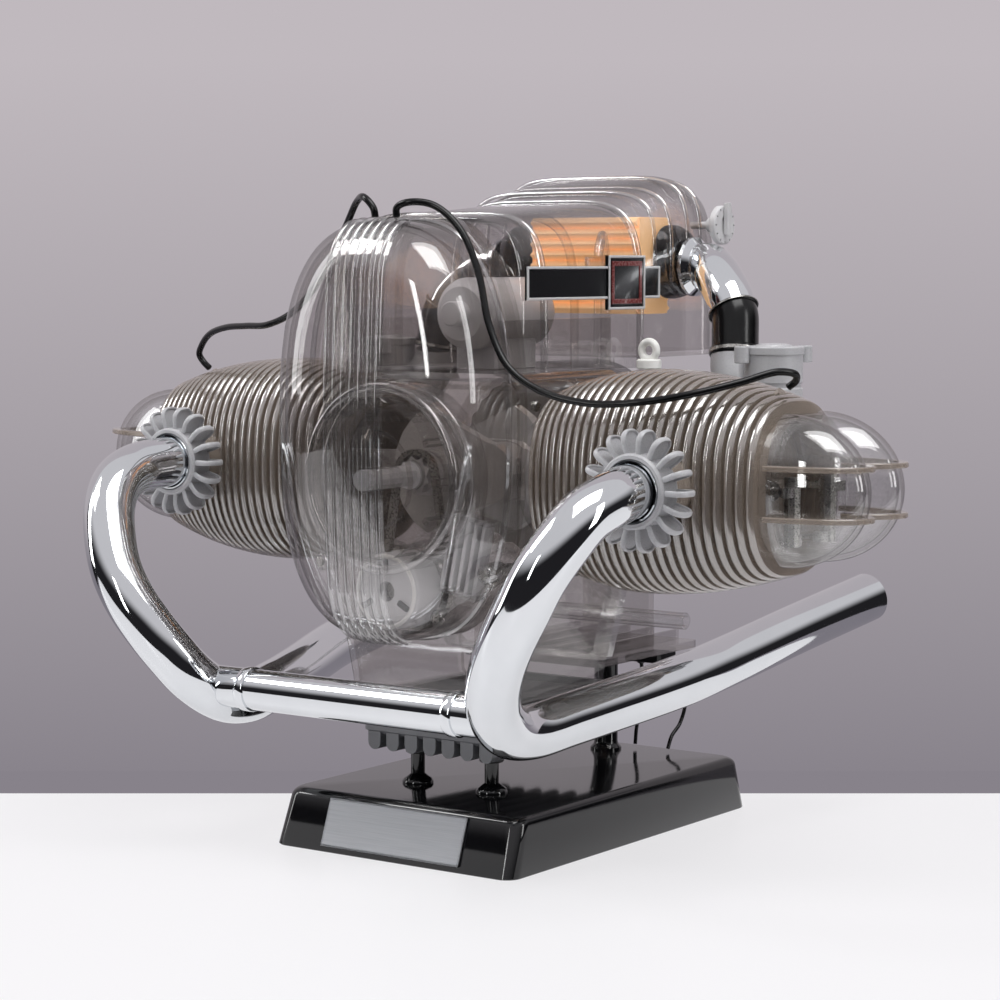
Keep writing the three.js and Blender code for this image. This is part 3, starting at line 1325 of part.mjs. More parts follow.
// Connecting rod: a small end on the gudgeon pin and a forked shank down to its foot at the crankpin
function addRod(side) {
  const pinX = crankThrow + rodLength;
  const footX = crankThrow + bigEndRadius + gap;
  const shankInner = rodFootHalfHeight * rodShankShare * 1.3;
  const shankOuter = rodFootHalfHeight * rodShankShare;
  const shank = extrudeAlongY(polygon([
    [footX, -rodFootHalfHeight], [footX + rodFootThickness, -rodFootHalfHeight],
    [footX + 3 * rodFootThickness, -shankInner], [pinX, -shankOuter], [pinX, shankOuter],
    [footX + 3 * rodFootThickness, shankInner], [footX + rodFootThickness, rodFootHalfHeight],
    [footX, rodFootHalfHeight],
  ].map(([x, z]) => [x, z + crankHeight])), side.axisY - rodThickness / 2, side.axisY + rodThickness / 2);
  const eye = rod(smallEndRadius, at(pinX, side.axisY - rodThickness / 2, crankHeight),
    at(pinX, side.axisY + rodThickness / 2, crankHeight));
  const eyeHole = rod(gudgeonRadius + gap, at(pinX, side.axisY - rodThickness, crankHeight),
    at(pinX, side.axisY + rodThickness, crankHeight), smallSides);
  const flutes = [-1, 1].map((end) => box(footX + 3 * rodFootThickness, pinX - 1.3 * smallEndRadius,
    side.axisY + end * rodThickness / 2 - overrun, side.axisY + end * rodThickness / 2 + overrun,
    crankHeight - shankOuter / 2, crankHeight + shankOuter / 2));
  addSide('conrod', side, cut(join(shank, eye), eyeHole, ...flutes), steel);
}

// Spark plug, leaning up and outward from the chamber
function addSparkPlug(side) {
  const direction = at(Math.cos(plugAngle), 0, Math.sin(plugAngle));
  const body = turned([
    [0, 0], [plugThreadRadius, 0], [plugThreadRadius, plugLength * 0.32],
    [plugHexRadius, plugLength * 0.32],
    [plugHexRadius, plugLength * 0.48], [plugBodyRadius, plugLength * 0.5],
    [plugBodyRadius * 0.8, plugLength],
    [0, plugLength],
  ], at(plugStartX, side.axisY, crankHeight + plugStartRise), direction, smallSides);
  addSide('spark_plug', side, body, white);
}

// Exhaust nut: a ring of rounded cooling petals round the pipe
function addExhaustNut(side) {
  const outline = [];
  const petalSteps = 3;
  for (let k = 0; k < nutPetals; k++) {
    for (let j = 0; j < petalSteps; j++) {
      const angle = 2 * Math.PI * (k + j / petalSteps) / nutPetals;
      const radius = j === 0 ? nutHubRadius : nutRadius;
      outline.push([portX + radius * Math.cos(angle), exhaustPortHeight + radius * Math.sin(angle)]);
    }
  }
  const rear = side.axisY - exhaustPortReach + nutDepth / 2;
  const petals = extrudeAlongY(polygon(outline), rear - nutDepth, rear - gap);
  const hub = rod(nutHubRadius, at(portX, rear - nutDepth, exhaustPortHeight),
    at(portX, rear - gap, exhaustPortHeight));
  const hole = rod(nutBore, at(portX, rear - 2 * nutDepth, exhaustPortHeight),
    at(portX, rear + nutDepth, exhaustPortHeight));
  addSide('exhaust_nut', side, cut(join(petals, hub), hole), grey);
}

// Exhaust pipe: forward out of the head, down and in under the front, then back along the stand.
// Its bends are shares of the port's X, of the tail's length, of the drop from the port to the lowest point,
// and of the distance between the two cylinders.
const exhaustBendShares = [
  [1.019, -0.018, 0.98, 1], [1.003, -0.076, 0.928, 1], [0.976, -0.112, 0.84, 1], [0.928, -0.14, 0.718, 1],
  [0.868, -0.145, 0.58, 0.8], [0.803, -0.135, 0.459, 0.6], [0.736, -0.112, 0.343, 0.4],
  [0.675, -0.08, 0.232, 0.2],
  [0.623, -0.037, 0.122, 0], [0.592, 0.023, 0.028, 0], [0.592, 0.087, 0, 0], [0.618, 0.174, 0.022, 0],
  [0.658, 0.266, 0.053, 0], [0.74, 0.436, 0.118, 0], [0.771, 0.578, 0.171, 0], [0.819, 0.78, 0.26, 0],
  [0.871, 1, 0.35, 0],
];

function exhaustRoute(axisY) {
  const lean = axisY - rightAxisY;
  const drop = exhaustPortHeight - exhaustLowHeight;
  return [
    [portX, axisY - exhaustPortReach + nutDepth / 2 - 2 * gap, exhaustPortHeight],
    [portX, axisY - exhaustPortReach - nutDepth / 2, exhaustPortHeight],
    ...exhaustBendShares.map(([out, back, up, side]) => [
      portX * out, crossY + exhaustTail * back + lean * side, exhaustLowHeight + drop * up,
    ]),
  ];
}

function addExhaustPipe(side) {
  const route = exhaustRoute(side.axisY);
  const pipe = solid(tube(route, exhaustRadius, 30, 10));
  const end = at(...route[route.length - 1]);
  const before = at(...route[route.length - 2]);
  const back = before.clone().sub(end).normalize();
  const tailBore = rod(exhaustRadius - exhaustWall, end.clone().addScaledVector(back, tailBoreDepth),
    end.clone().addScaledVector(back, -2 * overrun), 10);
  addSide('exhaust_pipe', side, cut(pipe, tailBore), chrome);
}

function addCrossPipe() {
  const pipe = rod(crossRadius, at(-crossHalfLength, crossY, crossHeight),
    at(crossHalfLength, crossY, crossHeight));
  const bends = sides.map((side) => {
    const geometry = tube(exhaustRoute(side.axisY), exhaustRadius + gap, 30, 10);
    return solid(side.sign < 0 ? facingOut(welded(geometry.scale(-1, 1, 1))) : geometry);
  });
  const collars = [-1, 1].map((sign) => rod(crossRadius + exhaustWall / 2,
    at(sign * (crossHalfLength - 12 * exhaustWall), crossY, crossHeight),
    at(sign * (crossHalfLength - 9 * exhaustWall), crossY, crossHeight)));
  add('cross_pipe', cut(join(pipe, ...collars), ...bends), chrome);
}

// Carburettor: a level bore from the intake stub, a round slide housing with a lugged cap, and a float bowl
function addCarburettor(side) {
  const y = side.axisY + carbY;
  const front = side.axisY + carbFront;
  const neckFrom = at(portX, front + carbBodyRadius, exhaustPortHeight);
  const neckTo = at(carbX, y, carbHeight);
  const neck = rod(carbBodyRadius * 0.8, neckFrom, neckTo);
  const flange = rod(intakeStubRadius, at(portX, front, exhaustPortHeight),
    at(portX, front + carbBodyRadius, exhaustPortHeight));
  const dome = rod(carbDomeRadius, at(carbX, y, carbHeight - carbBodyRadius), at(carbX, y, carbDomeTop));
  const cap = turned([
    [0, 0], [carbCapRadius, 0], [carbCapRadius, (carbCapTop - carbDomeTop) * 0.7],
    [carbCapRadius * 0.7, carbCapTop - carbDomeTop], [0, carbCapTop - carbDomeTop],
  ], at(carbX, y, carbDomeTop), alongZ);
  const lugs = [-1, 1].map((sign) => {
    const lugX = carbX + sign * (carbLugReach - carbLugRadius) * Math.cos(carbLugTurn);
    const lugY = y + sign * (carbLugReach - carbLugRadius) * Math.sin(carbLugTurn);
    return rod(carbLugRadius, at(lugX, lugY, carbDomeTop - carbLugRadius),
      at(lugX, lugY, carbCapTop - overrun), smallSides);
  });
  const bowl = turned([
    [0, 0], [carbBowlRadius * 0.6, 0], [carbBowlRadius, (carbHeight - carbBowlBottom) * 0.3],
    [carbBowlRadius, carbHeight - carbBowlBottom], [0, carbHeight - carbBowlBottom],
  ], at(carbX, y, carbBowlBottom), alongZ);
  const [hoseEnd, hoseNext] = airRoute(side.axisY, hoseShares).slice(-2).reverse().map((p) => at(...p));
  const inward = hoseNext.clone().sub(hoseEnd).normalize();
  const inletEnd = hoseEnd.clone().addScaledVector(inward, -gap);
  const inlet = solid(tube([inletEnd.toArray(), hoseEnd.clone().addScaledVector(inward,
    -carbBodyRadius / 2).toArray(),
    [carbX - carbBodyRadius, y, carbHeight + carbBodyRadius / 2], [carbX, y, carbHeight]],
  airTubeRadius, 6, 10));
  addSide('carburettor', side, join(neck, flange, dome, cap, ...lugs, bowl, inlet), grey);
}

// Intake air: a bright tube from the airbox, then a black rubber hose down to the carburettor.
// Their bends are shares of the way from the airbox port to the hose's lower end, along X, Y and Z.
const airTubeShares = [[0.06, 0, 0], [0.245, 0, 0], [0.49, 0.32, 0.1], [0.79, 0.66, 0.35],
  [0.86, 0.72, 0.46]];
const hoseShares = [[0.872, 0.732, 0.477], [0.92, 0.78, 0.56], [0.96, 0.88, 0.76], [1, 1, 1]];

function airRoute(axisY, shares) {
  return shares.map(([out, along, down]) => [
    archHalfWidth + (hoseEndX - archHalfWidth) * out, airPortY + (axisY + hoseEndY - airPortY) * along,
    airPortHeight + (hoseEndHeight - airPortHeight) * down,
  ]);
}

function addIntakeHose(side) {
  addSide('intake_hose', side, solid(tube(airRoute(side.axisY, hoseShares), hoseRadius, 6, roundSides)),
    rubber);
}

function addAirTube(side) {
  const from = at(archHalfWidth + gap, airPortY, airPortHeight);
  const bell = turned([
    [0, 0], [airBellRadius, 0], [airBellRadius, coverWall], [airTubeRadius, 2 * coverWall],
    [0, 2 * coverWall],
  ], from, alongX);
  addSide('air_tube', side, join(bell, solid(tube(airRoute(side.axisY, airTubeShares),
    airTubeRadius, 8, roundSides))), chrome);
}

// Ignition leads: from the top of the front cover to the spark plugs.
// Their bends are shares of the leads' span from the middle of the crank.
const rightLeadShares = [
  [0.05, -0.86, 0.976], [0.055, -0.865, 1.01], [0.1, -0.86, 1.03], [0.19, -0.82, 1.02], [0.3, -0.8, 0.93],
  [0.39, -0.81, 0.77], [0.46, -0.84, 0.58], [0.56, -0.86, 0.43], [0.7, -0.85, 0.345], [0.88, -0.81, 0.305],
  [1.08, -0.76, 0.315], [1.24, -0.69, 0.345], [1.37, -0.58, 0.385], [1.455, -0.47, 0.42],
  [1.49, -0.4, 0.41],
  [1.475, -0.37, 0.385], [1.445, -0.37, 0.362],
];
const leftLeadShares = [
  [-0.05, -0.86, 0.976], [-0.055, -0.865, 1.01], [-0.1, -0.86, 1.05], [-0.2, -0.78, 1.04],
  [-0.34, -0.68, 0.94],
  [-0.5, -0.62, 0.76], [-0.66, -0.6, 0.62], [-0.84, -0.55, 0.56], [-1.02, -0.48, 0.55],
  [-1.19, -0.41, 0.54],
  [-1.34, -0.34, 0.51], [-1.44, -0.28, 0.46], [-1.49, -0.24, 0.415], [-1.475, -0.23, 0.385],
  [-1.445, -0.23, 0.362],
];

function leadRoute(shares) {
  return shares.map(([x, y, z]) => [x * leadSpan, y * leadSpan, crankHeight + z * leadSpan]);
}

function addLeads() {
  for (const [name, shares] of [['right', rightLeadShares], ['left', leftLeadShares]]) {
    add(`ignition_lead_${name}`, solid(tube(leadRoute(shares), leadRadius, 30, boreSides)), rubber);
  }
}

// Supply cable: two thin wires joined in one plug under the rear tray, going down to the stand.
// Their bends are shares of the leads' span from the middle of the stand's top.
const supplyWireShares = [
  [[0.22, 0.76, 0.39], [0.24, 0.82, 0.3], [0.27, 0.85, 0.2], [0.265, 0.82, 0.11], [0.26, 0.76, 0.06],
    [0.26, 0.73, 0.012]],
  [[0.13, 0.72, 0.39], [0.12, 0.75, 0.28], [0.1, 0.77, 0.18], [0.09, 0.75, 0.08], [0.09, 0.74, 0.012]],
];

function addSupplyCable() {
  const plug = box(supplyPlugX - supplyPlugWidth / 2, supplyPlugX + supplyPlugWidth / 2,
    supplyPlugY - supplyPlugDepth / 2, supplyPlugY + supplyPlugDepth / 2,
    trayHeight - gap - supplyPlugHeight, trayHeight - gap);
  const wires = supplyWireShares.map((shares) => {
    const route = shares.map(([x, y, z]) => [x * leadSpan, y * leadSpan, standHeight + z * leadSpan]);
    return solid(tube(route, wireRadius, 12, boreSides));
  });
  add('supply_cable', join(plug, ...wires), rubber);
}

const sides = [
  { name: 'right', sign: 1, axisY: rightAxisY },
  { name: 'left', sign: -1, axisY: leftAxisY },
];

addStand();
addOilPan();
addCrankcase();
addRearHousing();
addTimingCover();
addFrontCover();
addTopCovers();
addAirFilter();
addStarterMotor();
addBadge();
addChokeDial();
addDipstick();
addCrankshaft();
addFlywheel();
addRotor();
addCamshaft();
addTimingChain();
for (const side of sides) {
  addBarrel(side);
  addHead(side);
  addRockerCover(side);
  addPiston(side);
  addRod(side);
  addValves(side);
  addRockers(side);
  addPushrods(side);
  addSparkPlug(side);
  addExhaustNut(side);
  addExhaustPipe(side);
  addCarburettor(side);
  addIntakeHose(side);
  addAirTube(side);
}
addCrossPipe();
addLeads();
addSupplyCable();

export default model;
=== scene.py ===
import math

import bmesh
import bpy
from mathutils import Matrix, Vector


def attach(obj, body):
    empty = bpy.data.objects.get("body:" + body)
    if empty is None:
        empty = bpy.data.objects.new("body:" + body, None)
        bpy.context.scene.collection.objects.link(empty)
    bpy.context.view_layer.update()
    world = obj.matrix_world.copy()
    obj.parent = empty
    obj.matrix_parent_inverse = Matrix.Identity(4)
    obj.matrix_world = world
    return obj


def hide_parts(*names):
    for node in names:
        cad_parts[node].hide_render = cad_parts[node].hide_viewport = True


bl_info = {
    "name": "Four stroke engine model",
    "version": (1, 0, 0),
    "blender": (4, 5, 0),
    "location": "3D View > Sidebar > Engine model",
    "description": "Makes the clear flat twin model on its display stand, and the studio around it",
    "category": "Add Mesh",
}

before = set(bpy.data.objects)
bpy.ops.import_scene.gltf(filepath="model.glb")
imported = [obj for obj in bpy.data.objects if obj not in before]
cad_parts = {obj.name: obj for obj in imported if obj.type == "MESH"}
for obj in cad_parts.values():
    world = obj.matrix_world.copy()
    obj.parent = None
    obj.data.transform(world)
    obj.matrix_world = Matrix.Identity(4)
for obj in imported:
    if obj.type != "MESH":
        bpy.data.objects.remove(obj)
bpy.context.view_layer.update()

# Lengths below are in millimetres, in the frame of the CAD model
MM = 0.001
CRANK_HEIGHT = 147.0
CAM_HEIGHT = 104.0
# The heads' ports, and how far the exhaust ports' ends lie ahead of the cylinder's axis
PORT_X, PORT_HEIGHT, PORT_REACH = 114.8, 148.0, 53.0
# The carburettors' axes: how far out, and how far behind the cylinder's axis
CARB_X, CARB_Y = 100.0, 67.0
# Where the dipstick stands, as (x, y)
DIPSTICK = (55.2, 10.6)
# Edges sharper than this many degrees stay crisp where a body is shaded smooth
SHARP = 38.0
X_AXIS, Y_AXIS, Z_AXIS = Vector((1, 0, 0)), Vector((0, 1, 0)), Vector((0, 0, 1))


class Side:
    """One cylinder's side: its name, the sign of its x, the y of its axis, and its lean from the right one."""

    def __init__(self, name, sign, axis):
        self.name = name
        self.sign = sign
        self.axis = axis
        self.lean = axis + 37.0

    def place(self, points):
        return [(self.sign * x, y, z) for x, y, z in points]


SIDES = (Side("right", 1, -37.0), Side("left", -1, -23.0))


# Nodes


def put(tree, kind, feeds=None, **settings):
    """Adds a node: settings are its own properties, feeds are values or nodes for its inputs by name or number."""
    node = tree.nodes.new(kind)
    for key, value in settings.items():
        setattr(node, key, value)
    for key, value in (feeds or {}).items():
        socket = node.inputs[key]
        if isinstance(value, bpy.types.Node):
            tree.links.new(value.outputs[0], socket)
        elif isinstance(value, bpy.types.NodeSocket):
            tree.links.new(value, socket)
        else:
            socket.default_value = value
    return node


def maths(tree, operation, *values):
    return put(tree, "ShaderNodeMath", dict(enumerate(values)), operation=operation)


def ranged(tree, value, start, end, low, high, **settings):
    """A value taken from the span start to end over to the span low to high."""
    feeds = {"Value": value, "From Min": start, "From Max": end, "To Min": low, "To Max": high}
    return put(tree, "ShaderNodeMapRange", feeds, **settings)


def noise(tree, place, scale, detail):
    return put(tree, "ShaderNodeTexNoise", {"Vector": place, "Scale": scale, "Detail": detail})


def here(tree):
    """The object's own coordinates."""
    return put(tree, "ShaderNodeTexCoord").outputs["Object"]


def between(tree, share, first, second):
    """A colour between two colours."""
    feeds = {"Factor": share, "A": rgba(first), "B": rgba(second)}
    return put(tree, "ShaderNodeMix", feeds, data_type="RGBA").outputs["Result"]


def shown(tree, surface):
    put(tree, "ShaderNodeOutputMaterial", {"Surface": surface})


def linear(code):
    """An sRGB hex colour as the linear colour that shaders take."""
    shares = [int(code[k : k + 2], 16) / 255 for k in (1, 3, 5)]
    return tuple(s / 12.92 if s <= 0.04045 else ((s + 0.055) / 1.055) ** 2.4 for s in shares)


def rgba(colour):
    return (*colour[:3], 1.0)


def open_material(name):
    material = bpy.data.materials.new(name)
    material.use_nodes = True
    material.node_tree.nodes.clear()
    return material, material.node_tree


# Finishes

# Powers by which a clear wall's tint and its mirror strengthen as the eye's line leans along the wall
DEPTH_POWER, GLANCE_POWER = 2.8, 5.0


def clear_plastic(name, through, rim, body, haze, roughness, ripple, mirror):
    """Clear injection moulded polystyrene. The tint deepens where the eye looks along the wall, the skin is a clean
    mirror that strengthens at a glancing angle, and the mould's polish leaves a slow ripple in what it mirrors."""
    material, tree = open_material(name)
    # Ripple of 14 mm
    slow = noise(tree, here(tree), 70.0, 2.0)
    bump = put(tree, "ShaderNodeBump", {"Height": slow, "Strength": ripple, "Distance": 0.002})
    facing = put(tree, "ShaderNodeLayerWeight", {"Blend": 0.5, "Normal": bump}).outputs["Facing"]
    mirrored = maths(tree, "MULTIPLY_ADD", maths(tree, "POWER", facing, GLANCE_POWER), 1.0 - mirror, mirror)
    tint = between(tree, maths(tree, "POWER", facing, DEPTH_POWER), through, rim)
    window = put(tree, "ShaderNodeBsdfTransparent", {"Color": tint})
    cloud = put(tree, "ShaderNodeBsdfDiffuse", {"Color": rgba(body), "Roughness": 0.5})
    skin = put(tree, "ShaderNodeBsdfGlossy", {"Color": (1, 1, 1, 1), "Roughness": roughness, "Normal": bump})
    inside = put(tree, "ShaderNodeMixShader", {0: haze, 1: window, 2: cloud})
    shown(tree, put(tree, "ShaderNodeMixShader", {0: mirrored, 1: inside, 2: skin}))
    return material


def moulded(name, colour, shade, roughness, spread, grain, relief, metallic=0.0, ior=1.5, coat=0.0, glow=0.0):
    """An opaque finish: colour wanders between two shades, roughness between two values, and a grain gives the relief.
    grain is the grain's size and relief its height, in millimetres. glow is painted light: the surface gives off its
    shade's colour as light of its own, which brightens it where it lies in shade."""
    material, tree = open_material(name)
    place = here(tree)
    broad, fine = noise(tree, place, 45.0, 3.0), noise(tree, place, 1.0 / (grain * MM), 2.0)
    feeds = {
        "Base Color": between(tree, broad, colour, shade),
        "Roughness": ranged(tree, fine, 0.3, 0.7, roughness, roughness + spread),
        "Metallic": metallic,
        "Coat Weight": coat,
        "Coat Roughness": 0.05,
        "Normal": put(tree, "ShaderNodeBump", {"Height": fine, "Strength": 0.6, "Distance": relief * MM}),
    }
    # The glow is painted light: the shade's colour given off evenly, though the paper is no lamp
    if glow:
        feeds.update({"Emission Color": rgba(shade), "Emission Strength": glow})
    if not metallic:
        feeds["IOR"] = ior
    shown(tree, put(tree, "ShaderNodeBsdfPrincipled", feeds))
    return material


def brushed(name, colour, shade, roughness, along):
    """Brushed aluminium sheet: hair lines 0.4 mm apart and tens of millimetres long streak both colour and gloss.
    along is the scale of the lines on each axis."""
    material, tree = open_material(name)
    lines = noise(tree, put(tree, "ShaderNodeMapping", {"Vector": here(tree), "Scale": along}), 2500.0, 3.0)
    feeds = {
        "Base Color": between(tree, lines, colour, shade),
        "Roughness": ranged(tree, lines, 0.3, 0.7, roughness, roughness + 0.15),
        "Metallic": 1.0,
        "Normal": put(tree, "ShaderNodeBump", {"Height": lines, "Strength": 0.3, "Distance": 0.00005}),
    }
    shown(tree, put(tree, "ShaderNodeBsdfPrincipled", feeds))
    return material


# Each clear finish: its name, its colours in EngineColours seen through, along the wall and scattered, then its haze,
# roughness, ripple and mirror seen square on
CLEAR_FINISHES = {
    # Smoke polystyrene: warm grey, clean windows with dark rims
    "smoke": ("smoke_polystyrene", "smoke_through", "smoke_rim", "smoke_body", 0.008, 0.02, 0.03, 0.07),
    # The same moulding where it stands as inner walls and webs, thicker and so deeper in tone
    "web": ("smoke_polystyrene_webs", "web_through", "smoke_rim", "smoke_body", 0.012, 0.04, 0.04, 0.035),
    # The same moulding in thin fins, browner and milky from the many edges
    "fins": ("smoke_polystyrene_fins", "fin_through", "fin_rim", "fin_body", 0.5, 0.16, 0.04, 0.05),
    # The rims of the fins are the polished parting edges, which catch the lamps as bright lines
    "fin_edge": ("polystyrene_fin_edges", "fin_through", "fin_rim", "fin_line", 0.3, 0.2, 0.01, 0.26),
    # Polished beads and flange edges of the smoke mouldings, which show as thin bright lines
    "edge": ("polished_polystyrene_edges", "clear_through", "smoke_rim", "clear_body", 0.02, 0.06, 0.0, 0.2),
    # Water clear polystyrene of the rocker covers and tubes
    "clear": ("clear_polystyrene", "clear_through", "clear_rim", "clear_body", 0.006, 0.015, 0.04, 0.085),
}
# Each opaque finish: its name, its colour and the shade it wanders to, its roughness and how far that wanders, the size
# and the height of its grain in millimetres, and what else it has
OPAQUE_FINISHES = {
    # High gloss ABS: near black, so its look is all mirror and a faint orange peel
    "black": ("gloss_black_abs", "#0B0B0D", "#121214", 0.07, 0.05, 0.9, 0.004, {"ior": 1.54}),
    # Vacuum plated ABS: a mirror with very slight waves from the moulding beneath
    "chrome": ("vacuum_chrome_plate", "#E6E8EA", "#DADDE0", 0.035, 0.03, 9.0, 0.006, {"metallic": 1.0}),
    # Silver grey pigmented ABS, satin from a sparked mould
    "grey": ("silver_grey_abs", "grey", "#A9A9AC", 0.24, 0.12, 0.5, 0.01, {"ior": 1.54}),
    # Darker grey ABS of the sump
    "dark_grey": ("slate_grey_abs", "#6E6F72", "#5B5C5F", 0.3, 0.15, 0.5, 0.012, {"ior": 1.54}),
    # Paler painted parts inside, such as the ignition plate
    "silver": ("silver_paint", "#D2D1D2", "#BFBEC0", 0.28, 0.2, 0.3, 0.006, {"coat": 0.3}),
    # Turned and nickelled steel of shafts, valves and chain
    "steel": ("nickelled_steel", "#B8B6B2", "#9D9B97", 0.22, 0.15, 0.7, 0.006, {"metallic": 1.0}),
    # Black enamel of the badge, glossy under a clear coat
    "badge": ("black_enamel", "#101012", "#191A1D", 0.16, 0.08, 0.8, 0.004, {"coat": 0.4}),
    # Red brown enamel in the taller block's frame
    "red": ("oxide_red_enamel", "#7E3A38", "#6B302F", 0.22, 0.1, 0.8, 0.004, {"coat": 0.4}),
    # Resin treated filter paper: orange, soft fibres 0.6 mm long, no gloss, and a painted glow of its own light that
    # brightens it where it lies in shade under the covers
    "paper": ("resin_filter_paper", "paper", "#FFC98E", 0.75, 0.15, 0.6, 0.05, {"ior": 1.45, "glow": 0.4}),
    # White nylon of the dipstick, satin and even
    "white": ("white_nylon", "#F4F4F1", "#E9E9E5", 0.38, 0.15, 0.6, 0.006, {"ior": 1.53}),
    # Sleeves and leads: black rubber with a fine bloom
    "rubber": ("black_rubber", "#060607", "#0B0B0C", 0.16, 0.1, 0.35, 0.005, {"ior": 1.38}),
}
FINISHES = {}


def finishes(colours):
    """Every material of the model, made once, named for what the real surface is."""
    if FINISHES:
        return
    for key, (name, through, rim, body, *looks) in CLEAR_FINISHES.items():
        tints = [getattr(colours, tint) for tint in (through, rim, body)]
        FINISHES[key] = clear_plastic(name, *tints, *looks)
    for key, (name, tint, shade, *looks, more) in OPAQUE_FINISHES.items():
        tint = linear(tint) if tint[0] == "#" else getattr(colours, tint)
        FINISHES[key] = moulded(name, tint, linear(shade), *looks, **more)
    # The label's hair lines run along its length
    FINISHES["label"] = brushed("brushed_aluminium_label", colours.label, linear("#ABADB1"), 0.42, (0.02, 1.0, 1.0))


# Shapes: each is (points in millimetres, faces)


def quads(total, count, loop=True, closed=True):
    """Faces between each ring and the next. loop runs the last ring on into the first, and closed does so within each
    ring."""
    faces = []
    for r in range(total if loop else total - 1):
        a, b = r * count, (r + 1) % total * count
        for k in range(count if closed else count - 1):
            n = (k + 1) % count
            faces.append((a + k, a + n, b + n, b + k))
    return faces


def loft(rings, loop=False):
    """A body through rings with one count of points. Its ends are flat, unless the last ring runs on into the first."""
    total, count = len(rings), len(rings[0])
    faces = quads(total, count, loop)
    if not loop:
        faces += [tuple(reversed(range(count))), tuple(range((total - 1) * count, total * count))]
    return [tuple(p) for ring in rings for p in ring], faces


def band(rings):
    """A closed strip whose section runs through open rings: it is capped at both ends of each ring."""
    total, count = len(rings), len(rings[0])
    near, far = tuple(r * count for r in range(total)), tuple(r * count + count - 1 for r in reversed(range(total)))
    return [tuple(p) for ring in rings for p in ring], [*quads(total, count, closed=False), near, far]


def swollen(value, power):
    """A power of a share, with the share's own sign."""
    return math.copysign(abs(value) ** power, value)


def oval(half_across, half_up, squareness, count):
    """Points of a rounded outline: squareness 2 is an ellipse, and more is squarer."""
    power = 2.0 / squareness
    angles = [2 * math.pi * k / count for k in range(count)]
    return [(half_across * swollen(math.cos(a), power), half_up * swollen(math.sin(a), power)) for a in angles]


def ring_x(x, y, z, half_y, half_z, squareness, count=72):
    return [(x, y + a, z + b) for a, b in oval(half_y, half_z, squareness, count)]


def frame_for(direction):
    """Two unit vectors square to a direction."""
    ahead = Vector(direction).normalized()
    aside = ahead.cross(Z_AXIS if abs(ahead.z) < 0.9 else X_AXIS).normalized()
    return aside, ahead.cross(aside).normalized()


def circle(middle, aside, up, radius, count):
    """A ring of points round a middle, in the plane of two unit vectors."""
    angles = [2 * math.pi * k / count for k in range(count)]
    return [tuple(middle + (aside * math.cos(a) + up * math.sin(a)) * radius) for a in angles]


def turned(outline, start, direction, count=48, loop=False):
    """A turned part: outline is (radius, distance along) pairs."""
    ahead = Vector(direction).normalized()
    aside, up = frame_for(ahead)
    return loft([circle(Vector(start) + ahead * along, aside, up, radius, count) for radius, along in outline], loop)


def rod(radius, start, end, count=32, edge=0.0):
    """A round bar with its two edges cut off by edge."""
    run = Vector(end) - Vector(start)
    far = run.length
    outline = [(0, 0), (radius - edge, 0), (radius, edge), (radius, far - edge), (radius - edge, far), (0, far)]
    return turned(outline, start, run, count)


def block(low, high, edge=0.0):
    """A box with its upright edges cut off by edge."""
    (x0, y0, z0), (x1, y1, z1) = low, high
    outline = [
        (x0 + edge, y0), (x1 - edge, y0), (x1, y0 + edge), (x1, y1 - edge),
        (x1 - edge, y1), (x0 + edge, y1), (x0, y1 - edge), (x0, y0 + edge),
    ]
    return loft([level(outline, z) for z in (z0, z1)])


def extruded(outline, axis, start, end):
    """An outline of pairs pulled along x or y: the pairs are (y, z) or (x, z)."""
    order = (lambda a, u, v: (a, u, v)) if axis == "x" else (lambda a, u, v: (u, a, v))
    return loft([[order(at, u, v) for u, v in outline] for at in (start, end)])


def rounded(half, front, rear, corner, steps=5):
    """A rounded rectangle from -half to half and front to rear, as pairs. Each corner has a number of steps."""
    ring = []
    for x, y, quarter in (
        (half - corner, rear - corner, 0), (-half + corner, rear - corner, 1),
        (-half + corner, front + corner, 2), (half - corner, front + corner, 3),
    ):
        for k in range(steps + 1):
            angle = (quarter + k / steps) * math.pi / 2
            ring.append((x + corner * math.cos(angle), y + corner * math.sin(angle)))
    return ring


def level(outline, z):
    return [(x, y, z) for x, y in outline]


def upright(outline, y):
    return [(x, y, z) for x, z in outline]


def softened(outline, radius):
    """An outline with each corner rounded off."""
    steps, count = 4, len(outline)
    result = []
    for k in range(count):
        before, corner, after = (Vector(outline[(k + d) % count]) for d in (-1, 0, 1))
        back, ahead = before - corner, after - corner
        short = min(radius, back.length * 0.45, ahead.length * 0.45)
        start, end = corner + back.normalized() * short, corner + ahead.normalized() * short
        for n in range(steps + 1):
            t = n / steps
            spot = start * (1 - t) ** 2 + corner * 2 * t * (1 - t) + end * t**2
            result.append((spot.x, spot.y))
    return result


def smooth_route(points, steps):
    """Points along the centripetal curve through a route, as the CAD model draws it."""
    knots = [Vector(p) for p in points]
    knots = [knots[0] * 2 - knots[1], *knots, knots[-1] * 2 - knots[-2]]
    spans = len(points) - 1
    result = []
    for step in range(steps + 1):
        at = step / steps * spans
        k = min(int(at), spans - 1)
        t = at - k
        p0, p1, p2, p3 = knots[k : k + 4]
        d0, d1, d2 = ((b - a).length ** 0.5 for a, b in ((p0, p1), (p1, p2), (p2, p3)))
        m1 = ((p1 - p0) / d0 - (p2 - p0) / (d0 + d1) + (p2 - p1) / d1) * d1
        m2 = ((p2 - p1) / d1 - (p3 - p1) / (d1 + d2) + (p3 - p2) / d2) * d1
        bow, tail = p1 * -3 + p2 * 3 - m1 * 2 - m2, p1 * 2 - p2 * 2 + m1 + m2
        result.append(p1 + m1 * t + bow * t**2 + tail * t**3)
    return result


